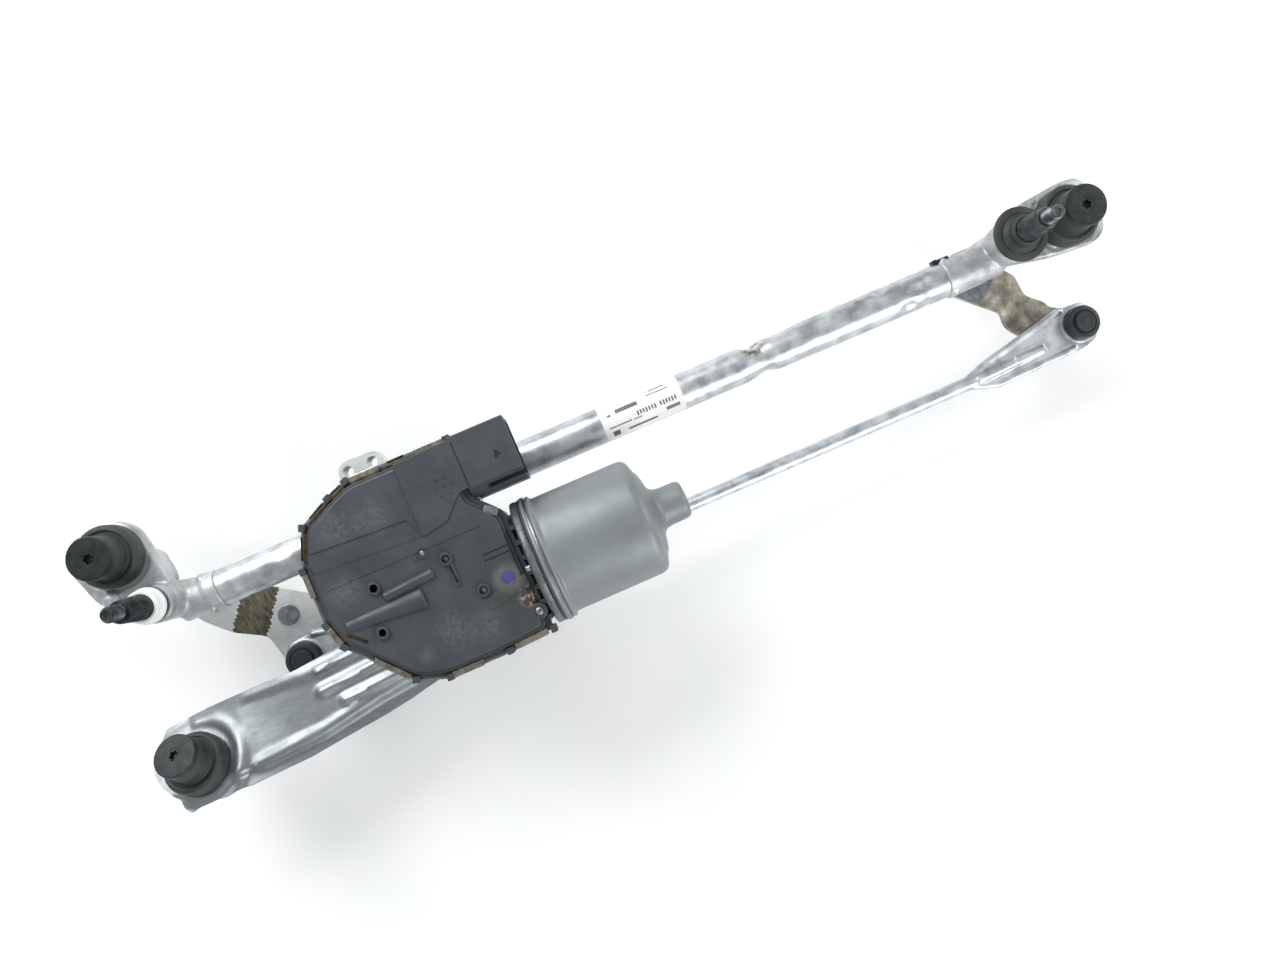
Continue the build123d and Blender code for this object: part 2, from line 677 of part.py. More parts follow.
def cover_seal():
    z0 = housing_top
    outer = prism(cover_outline, z0, z0 + seal_thickness, grow=-1.5)
    return outer - prism(cover_outline, z0 - 1, z0 + 3, grow=-1.5 - housing_wall)


def edge_runs(points):
    """Each edge of an outline: middle, direction angle and length."""
    runs = []
    for (x0, y0), (x1, y1) in zip(points, points[1:] + points[:1]):
        runs.append(((x0 + x1) / 2, (y0 + y1) / 2, math.degrees(math.atan2(y1 - y0, x1 - x0)),
                     math.hypot(x1 - x0, y1 - y0)))
    return runs


def clamp_band():
    """Steel band round housing and cover, with tabs folded over the cover's rim."""
    band = prism(cover_outline, 36, rim_top + 0.05, grow=1.3) - prism(cover_outline, 30, 60, grow=0.1)
    band -= block(168, 210, -30, 30, 30, 60)
    band -= block(170, 210, -100, -10, 30, 60)
    for x, y, turn, length in edge_runs(cover_outline):
        if length < 14 or x > 170 or (x > 140 and y > 10):
            continue
        wide = min(length * 0.62, 34.0)
        tab = Pos(x, y, rim_top + 0.05) * Rot(0, 0, turn) * Box(
            wide, 7.5, 1.1, align=(Align.CENTER, Align.CENTER, Align.MIN))
        band += tab & prism(cover_outline, 30, 60, grow=1.3)
    return band


def electronics_cover():
    rim = prism(cover_outline, housing_top + seal_thickness, rim_top)
    dome = prism(cover_outline, rim_top, cover_top, grow=-5.0)
    x0, x1 = connector_x
    y0, y1 = connector_y
    z0, z1 = connector_z
    w = connector_wall
    box = block(x0 + 0.5, x1, y0, y1, z0, z1)
    cover = rim + dome + box
    inside = prism(cover_outline, housing_top - 5, cover_top - cover_wall, grow=-1.5 - housing_wall - 2.5)
    cover -= inside & block(60, x0 - 2, -120, 40, 0, 60)
    cover -= inside & block(60, 200, -120, y0 - 4, 0, 60)
    cover -= block(x1 - socket_depth, x1 + 1, y0 + w, y1 - w, z0 + w, z1 - w)
    for terminal in connector_terminals():
        cover -= terminal
    return cover


def connector_terminals():
    x1 = connector_x[1] - socket_depth
    middle = (connector_z[0] + connector_z[1]) / 2
    pitch = (connector_y[1] - connector_y[0]) / (terminal_count + 1)
    places = [connector_y[0] + pitch * (i + 1) for i in range(terminal_count)]
    return [block(x1 - 4, x1 + 11, y - 1.2, y + 1.2, middle - 0.4, middle + 0.4) for y in places]


board_bottom = 39.5
board_thickness = 1.6


def circuit_board():
    board = prism(cover_outline, board_bottom, board_bottom + board_thickness, grow=-1.5 - housing_wall - 0.6)
    return board & block(60, 170, -86, 40, 0, 60)


def board_parts():
    z = board_bottom + board_thickness
    shapes = [(116, -62, 12, 9, 5), (140, -68, 12, 12, 6), (148, -32, 14, 14, 3), (120, -24, 10, 14, 4),
              (104, -42, 8, 8, 5)]
    return [block(x - a / 2, x + a / 2, y - b / 2, y + b / 2, z, z + h) for x, y, a, b, h in shapes]


def lug_plate():
    """Two-eyed lug on the housing's back wall."""
    places = [(lug_x - lug_spacing / 2, lug_y), (lug_x + lug_spacing / 2, lug_y)]
    wall_y = cover_outline[2][1] - 1.5
    plate = block(lug_x - 13, lug_x + 13, wall_y, lug_y - 2, lug_z, lug_z + lug_thickness)
    plate += block(lug_x - 6, lug_x + 13, wall_y, wall_y + lug_thickness / 2, lug_z, lug_z + 12)
    for place in places:
        plate += post(*place, lug_z, lug_z + lug_thickness, 6.2)
    for place in places:
        plate -= post(*place, lug_z - 1, lug_z + 5, lug_hole_r)
    return plate


# ---------------------------------------------------------------- motor
def yoke():
    """Deep-drawn can with a beaded flange, rounded shoulders and a bearing nose."""
    w = yoke_wall
    s = yoke_start
    groove = yoke_flange_r - 1.2
    rim = yoke_flange_r - 0.4
    outer = [
        (s, yoke_flange_r), (s + 2, yoke_flange_r), (s + 2.6, groove), (s + 3.4, groove), (s + 4, rim),
        (s + yoke_flange, rim), (s + yoke_flange + 1.5, yoke_r),
        (yoke_end - 4.5, yoke_r), (yoke_end - 1.4, yoke_r - 1.4), (yoke_end, yoke_r - 4.5),
        (yoke_end, nose_r + 2), (yoke_end + 2, nose_r),
        (nose_end - 1.5, nose_r), (nose_end, nose_r - 1.5), (nose_end, 0)]
    inner = [
        (nose_end - w, 0), (nose_end - w, nose_r - w), (yoke_end - w, nose_r - w), (yoke_end - w, yoke_r - 5),
        (yoke_end - w - 3.6, yoke_r - w), (s, yoke_r - w)]
    return turned_x(outer + inner, motor_y, motor_z)


def motor_gasket():
    return (bar(motor_y, motor_z, flange_end, yoke_start, flange_r)
            - bar(motor_y, motor_z, flange_end - 1, yoke_start + 1, yoke_r - yoke_wall))


def yoke_screws():
    """Three screws through the housing flange into the yoke's flange."""
    screws = []
    for turn in (90, 210, 330):
        y = motor_y + 31.8 * math.cos(math.radians(turn))
        z = motor_z + 31.8 * math.sin(math.radians(turn))
        screws.append(bar(y, z, flange_start - 2, flange_start, 1.5))
    return screws


def motor_magnets():
    low = core_start - 5
    high = core_end + 5
    ring_all = (bar(motor_y, motor_z, low, high, yoke_r - yoke_wall)
                - bar(motor_y, motor_z, low - 1, high + 1, magnet_r))
    quarter = block(low - 1, high + 1, -2.5, 2.5, -yoke_r, yoke_r)
    cross = quarter + Rot(90, 0, 0) * quarter
    return ring_all - Pos(0, motor_y, motor_z) * cross


def slot_bar(turn, x0, x1, inner, outer, half):
    """One radial block of the armature, at an angle round the motor's axis."""
    return Pos(0, motor_y, motor_z) * Rot(turn, 0, 0) * block(x0, x1, -half, half, inner, outer)


def armature_core():
    core = bar(motor_y, motor_z, core_start, core_end, core_r)
    core -= bar(motor_y, motor_z, core_start - 1, core_end + 1, armature_r)
    for i in range(slots):
        turn = 360 * i / slots
        core -= slot_bar(turn, core_start - 1, core_end + 1, 12, core_r - 2.5, 2.5)
        core -= slot_bar(turn, core_start - 1, core_end + 1, core_r - 3, core_r + 1, 0.9)
    return core


def armature_windings():
    coil = bar(motor_y, motor_z, core_start - 4.5, core_start - 0.3, core_r - 4)
    coil += bar(motor_y, motor_z, core_end + 0.3, core_end + 4.5, core_r - 4)
    coil -= bar(motor_y, motor_z, core_start - 5, core_end + 5, armature_r + 4)
    for i in range(slots):
        coil += slot_bar(360 * i / slots, core_start - 3, core_end + 3, 12.3, core_r - 4, 2.2)
    return coil


def commutator():
    start = yoke_start + 5
    end = core_start - 5.5
    drum = bar(motor_y, motor_z, start, end, commutator_r)
    drum -= bar(motor_y, motor_z, start - 1, end + 1, armature_r)
    for i in range(slots):
        turn = 360 * (i + 0.5) / slots
        drum -= slot_bar(turn, start + 1.5, end + 1, commutator_r - 0.8, commutator_r + 1, 0.25)
    return drum


def brush_plate():
    start = yoke_start + 0.4
    plate = (bar(motor_y, motor_z, start, start + 2.4, yoke_r - yoke_wall - 0.3)
             - bar(motor_y, motor_z, start - 1, start + 4, 12))
    for turn in (90, 270):
        box = slot_bar(turn, start + 2.4, start + 13, 12, 26, 5.5)
        plate += box - slot_bar(turn, start + 4.8, start + 11.8, 11, 27, 3.5)
    return plate


def carbon_brushes():
    start = yoke_start + 0.4
    return [slot_bar(turn, start + 5, start + 11.6, commutator_r + 0.3, 18, 3.3) for turn in (90, 270)]


# ---------------------------------------------------------------- build
def build():
    os.makedirs("parts", exist_ok=True)
    save("frame_tube", frame_tube())
    save("tube_label", tube_label())
    save("left_pivot_housing", left_housing())
    save("right_pivot_housing", right_housing())
    save("motor_bracket", motor_bracket())
    save("left_spindle_bushes", *spindle_bushes(0.0))
    save("right_spindle_bushes", *spindle_bushes(spindle_span))
    low, high = ear_bottom - seat_z, ear_top - seat_z
    save("left_grommet", mount_places[0] * grommet(low, high))
    save("right_grommet", mount_places[1] * grommet(low, high))
    save("lower_grommet", mount_places[2] * grommet(high - bracket_thickness, high))
    save("bolt_sleeves", *[place * bolt_sleeve() for place in mount_places])
    save("body_bolts", *[place * body_bolt() for place in mount_places])

    for side, x in (("left", 0.0), ("right", spindle_span)):
        save(f"{side}_spindle", spindle(x))
        save(f"{side}_circlip", circlip(x))
        save(f"{side}_thrust_washers", ring(x, root_top, barrel_bottom, spindle_r + 0.1, barrel_r - 0.5),
             ring(x, barrel_top, barrel_top + thrust_washer, spindle_r + 0.1, barrel_r - 0.5))
    save("left_spindle_collar", spindle_collar())
    save("right_spindle_boot", spindle_boot())
    save("left_lever", left_lever())
    save("right_lever", right_lever())
    save("left_rod_pin", ball_pin(left_ball, plate_z_top, plate_z_bottom, True))
    save("right_rod_pin", ball_pin(right_ball, plate_z_top, plate_z_bottom, True))
    save("left_drive_pin", ball_pin(left_drive_ball, plate_z_bottom, plate_z_top, False))
    save("crank_pin", ball_pin(crank_ball, plate_z_bottom, crank_top, False))

    save("long_rod", long_rod())
    save("long_rod_left_socket", ball_socket(left_ball, rod_ball_z, True))
    save("long_rod_right_socket", ball_socket(right_ball, rod_ball_z, True))
    save("short_rod", short_rod())
    save("short_rod_left_socket", ball_socket(left_drive_ball, drive_ball_z, False))
    save("short_rod_crank_socket", ball_socket(crank_ball, drive_ball_z, False))

    save("crank_arm", crank_arm())
    save("crank_nut", crank_nut())
    save("output_shaft", output_shaft())
    save("worm_wheel", worm_wheel())
    save("sensor_magnet", post(shaft_x, shaft_y, wheel_top, wheel_top + 3, output_r - 1))
    save("output_bushes", *output_bushes())

    save("gear_housing", gear_housing())
    save("housing_screws", *housing_screws())
    save("cover_seal", cover_seal())
    save("electronics_cover", electronics_cover())
    save("cover_clamp_band", clamp_band())
    save("connector_terminals", *connector_terminals())
    save("circuit_board", circuit_board())
    save("board_parts", *board_parts())
    save("lug_plate", lug_plate())

    save("motor_yoke", yoke())
    save("motor_gasket", motor_gasket())
    save("yoke_screws", *yoke_screws())
    save("motor_bearings", *motor_bearings())
    save("motor_magnets", motor_magnets())
    save("armature_shaft", armature_shaft())
    save("armature_core", armature_core())
    save("armature_windings", armature_windings())
    save("commutator", commutator())
    save("brush_plate", brush_plate())
    save("carbon_brushes", *carbon_brushes())


build()
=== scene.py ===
import json
import math

import bmesh
import bpy
from mathutils import Matrix, Vector, noise

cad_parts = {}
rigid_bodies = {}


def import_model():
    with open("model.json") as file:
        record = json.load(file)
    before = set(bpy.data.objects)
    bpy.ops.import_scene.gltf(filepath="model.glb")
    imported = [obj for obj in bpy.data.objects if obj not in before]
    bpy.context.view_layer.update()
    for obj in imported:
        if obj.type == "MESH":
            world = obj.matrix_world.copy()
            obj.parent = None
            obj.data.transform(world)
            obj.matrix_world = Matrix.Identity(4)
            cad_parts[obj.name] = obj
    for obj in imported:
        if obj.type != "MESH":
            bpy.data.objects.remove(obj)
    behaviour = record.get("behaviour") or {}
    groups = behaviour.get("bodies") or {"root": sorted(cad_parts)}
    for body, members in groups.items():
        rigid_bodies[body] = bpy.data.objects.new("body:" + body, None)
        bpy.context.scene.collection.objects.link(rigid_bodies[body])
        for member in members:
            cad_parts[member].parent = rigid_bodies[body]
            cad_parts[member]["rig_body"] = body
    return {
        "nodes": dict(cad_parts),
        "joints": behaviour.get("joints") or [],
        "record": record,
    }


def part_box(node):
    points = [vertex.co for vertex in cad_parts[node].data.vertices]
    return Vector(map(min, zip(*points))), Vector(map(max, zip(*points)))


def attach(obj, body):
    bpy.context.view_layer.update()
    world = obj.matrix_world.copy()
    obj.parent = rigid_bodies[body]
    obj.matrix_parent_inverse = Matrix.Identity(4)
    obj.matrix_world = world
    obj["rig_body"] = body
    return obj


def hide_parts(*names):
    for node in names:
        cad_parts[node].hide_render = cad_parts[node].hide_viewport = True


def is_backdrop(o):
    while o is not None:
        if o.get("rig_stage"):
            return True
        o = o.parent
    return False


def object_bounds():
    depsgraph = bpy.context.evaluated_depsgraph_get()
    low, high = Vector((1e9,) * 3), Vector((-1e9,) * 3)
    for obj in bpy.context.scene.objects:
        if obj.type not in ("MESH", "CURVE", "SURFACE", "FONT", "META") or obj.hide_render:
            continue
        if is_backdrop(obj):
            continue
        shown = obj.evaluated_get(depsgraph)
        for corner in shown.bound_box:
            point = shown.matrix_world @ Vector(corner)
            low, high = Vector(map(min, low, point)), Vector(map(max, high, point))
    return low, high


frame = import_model()

bl_info = {
    "name": "Wiper drive dresser",
    "version": (1, 0, 0),
    "blender": (4, 5, 0),
    "location": "View3D > Sidebar > Wiper",
    "description": "Dresses a windshield wiper drive: frame tube, castings, motor, cover and linkage",
    "category": "Object",
}


# --- places, worked out from the frame
def middle(node):
    low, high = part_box(node)
    return (low + high) / 2


# Shapes are drawn in millimetres about the left spindle's axis, at the height of the tube's axis.
HOME = Vector((middle("left_spindle").x, middle("left_spindle").y, middle("frame_tube").z))
TO_ROW = Matrix.Translation(HOME) @ Matrix.Scale(0.001, 4)
FROM_ROW = TO_ROW.inverted()


def reach(node):
    """A node's lowest and highest corner, in millimetres about HOME."""
    low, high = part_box(node)
    return FROM_ROW @ low, FROM_ROW @ high


def named_place(rows, name):
    """Where a joint or a mount of the frame is, in millimetres about HOME."""
    return FROM_ROW @ Vector(next(row for row in rows if row["name"] == name)["pos_m"])


SLOT_OF = {part["node"]: part["material_slot"] for part in frame["record"]["subparts"]}
SHAFT = named_place(frame["joints"], "output_turn")
LOWER_SEAT = named_place(frame["record"]["mounts"], "lower_body_bolt")
RIGHT = FROM_ROW @ middle("right_spindle")
TUBE_LOW, TUBE_HIGH = reach("frame_tube")
TUBE_Y = (TUBE_LOW.y + TUBE_HIGH.y) / 2
TUBE_R = (TUBE_HIGH.z - TUBE_LOW.z) / 2
YOKE_LOW, YOKE_HIGH = reach("motor_yoke")
MOTOR_Y, MOTOR_Z = (YOKE_LOW.y + YOKE_HIGH.y) / 2, (YOKE_LOW.z + YOKE_HIGH.z) / 2
COVER_HIGH = reach("electronics_cover")[1]
RIM = COVER_HIGH.z - 6.0           # the cover's rim, where the clamp's tabs lie
DECK = COVER_HIGH.z - 1.0          # the cover's raised deck
EAR_LOW, EAR_TOP = 8.0, 16.0       # the castings' ears, above the tube's axis
ARM_LEAN = 28                      # degrees that the bracket arm's mount leans back
LEVER_ROOT, LEVER_PLATE = -30.5, -36.5      # the levers' upper face, at the spindle and at the rods
ROD_PIN, DRIVE_PIN = (42.5, -58), (40, -31)      # on a lever, from its spindle
LEVER_BEND = math.radians(-36)     # the way that the left lever's bend faces
BEND_FROM, BEND_TO = 24, 41        # where that bend starts and ends
ROD_SHIFT = -6.5                   # the long rod's straight run lies this far in front of its balls


# --- sizes and colours a user may change
def length(name, description, default, low=0.0):
    return bpy.props.FloatProperty(name=name, description=description, default=default, min=low, unit="LENGTH")


class WiperSizes(bpy.types.PropertyGroup):
    edge: length("Edge round", "Rounding of machined and stamped edges", 0.0004)
    cast_voxel: length("Casting detail", "Cell size of the castings' surface", 0.00085, 0.0005)
    rib_height: length("Rib height", "Height of the bracket arm's pressed ribs", 0.0028)
    sheet_cell: length("Sheet detail", "Cell size of pressed sheet", 0.0016, 0.0008)
    stud_pitch: length("Stud pitch", "Thread pitch of the spindles' studs", 0.00125, 0.0005)
    splines: bpy.props.IntProperty(
        name="Knurl teeth", description="Teeth round each spindle's cone", default=44, min=12)


def linear(code):
    """A colour as the shaders want it, from its sRGB hex value."""
    parts = [int(code[i:i + 2], 16) / 255 for i in (1, 3, 5)]
    return tuple(c / 12.92 if c <= 0.04045 else ((c + 0.055) / 1.055) ** 2.4 for c in parts) + (1.0,)


def colour_setting(name, description, code):
    return bpy.props.FloatVectorProperty(
        name=name, description=description, default=linear(code), size=4, subtype="COLOR", min=0, max=1)


class WiperColours(bpy.types.PropertyGroup):
    rubber: colour_setting("Rubber", "Grommets and boot", "#2b302f")
    cover: colour_setting("Cover", "Moulded electronics cover", "#3c4147")
    motor: colour_setting("Motor", "Painted motor can", "#7f8586")
    floor: colour_setting("Floor", "Studio floor", "#f7f8f8")


def size(name):
    """A length of the settings, in millimetres."""
    return getattr(bpy.context.scene.wiper_sizes, name) * 1000


def chosen(name):
    return tuple(getattr(bpy.context.scene.wiper_colours, name))


# --- mesh helpers
def lathe(profile, steps=64, closed=False, z=0.0):
    """A skin turned about Z from (radius, height) points, with its heights counted from z."""
    bm = bmesh.new()
    verts = [bm.verts.new((r, 0, z + h)) for r, h in profile]
    edges = [bm.edges.new(pair) for pair in zip(verts, verts[1:] + verts[:1 if closed else 0])]
    bmesh.ops.spin(bm, geom=verts + edges, cent=(0, 0, 0), axis=(0, 0, 1), dvec=(0, 0, 0),
                   angle=2 * math.pi, steps=steps, use_merge=True)
    bmesh.ops.remove_doubles(bm, verts=bm.verts, dist=0.001)
    bmesh.ops.recalc_face_normals(bm, faces=bm.faces)
    return bm


def rounded(bm, edges, width, segments):
    bmesh.ops.bevel(bm, geom=edges, offset=width, offset_type="OFFSET", segments=segments,
                    profile=0.5, affect="EDGES", clamp_overlap=True, material=-1)
    return bm


def soften(bm, width, angle=32):
    """Rounds the edges that turn by more than an angle."""
    return rounded(bm, [e for e in bm.edges if e.is_manifold and e.calc_face_angle(0) > math.radians(angle)],
                   width, 2)


def slab(points, z0, z1, corner=0.0, edge=0.0):
    """An outline raised between two heights, its upright corners and its rims rounded."""
    bm = bmesh.new()
    face = bm.faces.new([bm.verts.new((x, y, z0)) for x, y in points])
    raised = bmesh.ops.extrude_face_region(bm, geom=[face])
    verts = [v for v in raised["geom"] if isinstance(v, bmesh.types.BMVert)]
    bmesh.ops.translate(bm, vec=(0, 0, z1 - z0), verts=verts)
    bmesh.ops.recalc_face_normals(bm, faces=bm.faces)
    if corner:
        rounded(bm, [e for e in bm.edges if abs(e.verts[0].co.z - e.verts[1].co.z) > 0.5 * abs(z1 - z0)], corner, 6)
    return soften(bm, edge) if edge else bm


def box(x0, x1, y0, y1, z0, z1, edge=0.0):
    return slab([(x0, y0), (x1, y0), (x1, y1), (x0, y1)], z0, z1, edge=edge)


def drum(radius, z0, z1, edge=0.0, steps=48):
    bm = lathe([(0, z0), (radius, z0), (radius, z1), (0, z1)], steps)
    return soften(bm, edge) if edge else bm


def placed(bm, x=0.0, y=0.0, z=0.0, turn=None):
    """Turns a mesh about the origin, then moves it."""
    if turn is not None:
        bm.transform(turn)
    bm.transform(Matrix.Translation((x, y, z)))
    return bm


def post(x, y, *shape, **more):
    """An upright drum at a place."""
    return placed(drum(*shape, **more), x, y)


ALONG_X = Matrix.Rotation(math.radians(90), 4, "Y")


def about_z(degrees):
    return Matrix.Rotation(math.radians(degrees), 4, "Z")


def facing(a, b):
    """The turn about Z that lays +X along a line."""
    return about_z(math.degrees(math.atan2(b[1] - a[1], b[0] - a[0])))


def joined(*meshes):
    """Several shapes in one mesh."""
    first = meshes[0]
    for other in meshes[1:]:
        scratch = bpy.data.meshes.new("scratch")
        other.to_mesh(scratch)
        other.free()
        first.from_mesh(scratch)
        bpy.data.meshes.remove(scratch)
    return first


def linked(name, data):
    """A new object in the scene."""
    item = bpy.data.objects.new(name, data)
    bpy.context.scene.collection.objects.link(item)
    return item


def as_object(bm, name="scratch"):
    mesh = bpy.data.meshes.new(name)
    bm.to_mesh(mesh)
    bm.free()
    return linked(name, mesh)


def discard(item):
    mesh = item.data
    bpy.data.objects.remove(item)
    bpy.data.meshes.remove(mesh)


def applied(bm, *steps):
    """The mesh after a stack of modifiers, each a kind and its settings."""
    item = as_object(bm)
    for kind, settings in steps:
        modifier = item.modifiers.new(kind, kind)
        for key, value in settings.items():
            setattr(modifier, key, value)
    mesh = bpy.data.meshes.new_from_object(item.evaluated_get(bpy.context.evaluated_depsgraph_get()))
    result = bmesh.new()
    result.from_mesh(mesh)
    bpy.data.meshes.remove(mesh)
    discard(item)
    return result


def combined(bm, tool, operation="DIFFERENCE", crossed=False):
    """Cuts a shape out of another, or adds it. A mesh whose own parts cross each other says so."""
    cutter = as_object(tool)
    result = applied(bm, ("BOOLEAN", {
        "object": cutter, "operation": operation, "solver": "EXACT", "use_self": crossed}))
    discard(cutter)
    bmesh.ops.remove_doubles(result, verts=result.verts, dist=0.002)
    return result


def as_cast(bm, share=1.0, rounds=5):
    """Melts joined shapes into one skin with the soft edges and fillets of a casting."""
    return applied(bm, ("REMESH", {"mode": "VOXEL", "voxel_size": share * size("cast_voxel")}),
                   ("SMOOTH", {"factor": 0.5, "iterations": rounds}))


def grown(points, distance):
    """An anticlockwise outline moved outwards by a distance, or inwards if it is negative."""
    moved = []
    for before, here, after in zip(points[-1:] + points[:-1], points, points[1:] + points[:1]):
        a = (Vector(here) - Vector(before)).normalized()
        b = (Vector(after) - Vector(here)).normalized()
        out = Vector((a.y + b.y, -a.x - b.x)).normalized()
        stretch = distance / max(0.3, out.dot(Vector((a.y, -a.x))))
        moved.append((here[0] + out.x * stretch, here[1] + out.y * stretch))
    return moved


def threaded(radius, pitch, z0, z1, steps=24):
    """A V thread wound round Z, with its ends closed."""
    bm = bmesh.new()
    root = radius - 0.6 * pitch
    turns = round((z1 - z0 - pitch) / pitch)
    verts = [bm.verts.new((r, 0, z0 + h)) for r, h in ((root, 0), (radius, pitch * 0.5), (root, pitch))]
    edges = [bm.edges.new(pair) for pair in zip(verts, verts[1:])]
    bmesh.ops.spin(bm, geom=verts + edges, cent=(0, 0, 0), axis=(0, 0, 1),
                   dvec=(0, 0, pitch / steps), angle=2 * math.pi * turns, steps=steps * turns, use_merge=False)
    bmesh.ops.remove_doubles(bm, verts=bm.verts, dist=0.01)
    bmesh.ops.holes_fill(bm, edges=[e for e in bm.edges if e.is_boundary], sides=0)
    bmesh.ops.recalc_face_normals(bm, faces=bm.faces)
    return bm


def under_face(bm):
    """Leaves only the face that looks down, to be cut and bent as a sheet."""
    bmesh.ops.delete(bm, geom=[f for f in bm.faces if f.normal.z > -0.5], context="FACES")
    return bm


def sliced(bm, normal, low, high, count):
    """Cuts a sheet into equal strips between two levels along an axis."""
    for i in range(1, count):
        bmesh.ops.bisect_plane(bm, geom=bm.verts[:] + bm.edges[:] + bm.faces[:], dist=0.0005,
                               plane_co=Vector(normal) * (low + (high - low) * i / count), plane_no=normal)


def pressed(outline, height, thickness, corner=3.0):
    """Sheet metal: an outline cut into small cells, raised by a height for each place, and given its gauge."""
    bm = under_face(slab(outline, 0, 1, corner))
    xs = [v.co.x for v in bm.verts]
    ys = [v.co.y for v in bm.verts]
    for normal, low, high in (((1, 0, 0), min(xs), max(xs)), ((0, 1, 0), min(ys), max(ys))):
        sliced(bm, normal, low, high, int((high - low) / size("sheet_cell")))
    bmesh.ops.reverse_faces(bm, faces=bm.faces)
    for v in bm.verts:
        v.co.z = height(v.co.x, v.co.y)
    return applied(bm, ("SOLIDIFY", {"thickness": thickness, "offset": -1.0, "use_even_offset": True,
                                     "use_quality_normals": True}))


def ramp(value, low, high):
    """Rises smoothly from 0 to 1 between two values."""
    t = min(1.0, max(0.0, (value - low) / (high - low)))
    return t * t * (3 - 2 * t)


def hump(away):
    """1 at the middle, falling in a wave to 0 at a distance of 1."""
    return 0.5 + 0.5 * math.cos(math.pi * away) if away < 1 else 0.0


def rib(x, y, start, end, width):
    """1 on the middle line of a round-ended rib, falling to 0 at its edge."""
    a, spot = Vector(start), Vector((x, y))
    along = Vector(end) - a
    t = min(1.0, max(0.0, (spot - a).dot(along) / along.length_squared))
    return hump((spot - a - along * t).length / (width / 2))


def on_line(x, points):
    """Height of a line of (x, height) points at one x."""
    for (x0, y0), (x1, y1) in zip(points, points[1:]):
        if x <= x1:
            return y0 + (y1 - y0) * max(0.0, x - x0) / (x1 - x0)
    return points[-1][1]


def finished(name, bm, node, finish=None, sharp=38.0):
    """Places a piece, shades it, gives it its finish, and puts it on the body of the node that it stands for.
    A piece of trim that stands for no node names one it rides with, after a plus sign."""
    host = node.lstrip("+")
    bm.transform(TO_ROW)
    piece = as_object(bm, name)
    piece.data.shade_smooth()
    piece.data.set_sharp_from_angle(angle=math.radians(sharp))
    piece.data.materials.append(FINISHES[finish or SLOT_OF[host]])
    piece.modifiers.new("Even shading", "WEIGHTED_NORMAL").keep_sharp = True
    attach(piece, frame["nodes"][host]["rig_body"])
    if host == node:
        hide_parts(node)
    return piece


def copied(node, width=None):
    """A merged copy of a node's own mesh, with its edges rounded."""
    bm = bmesh.new()
    bm.from_mesh(frame["nodes"][node].data)
    bm.transform(FROM_ROW)
    bmesh.ops.remove_doubles(bm, verts=bm.verts, dist=0.003)
    bmesh.ops.dissolve_limit(bm, angle_limit=math.radians(1.5), verts=bm.verts, edges=bm.edges)
    return soften(bm, width) if width else bm


# --- materials
FINISHES = {}


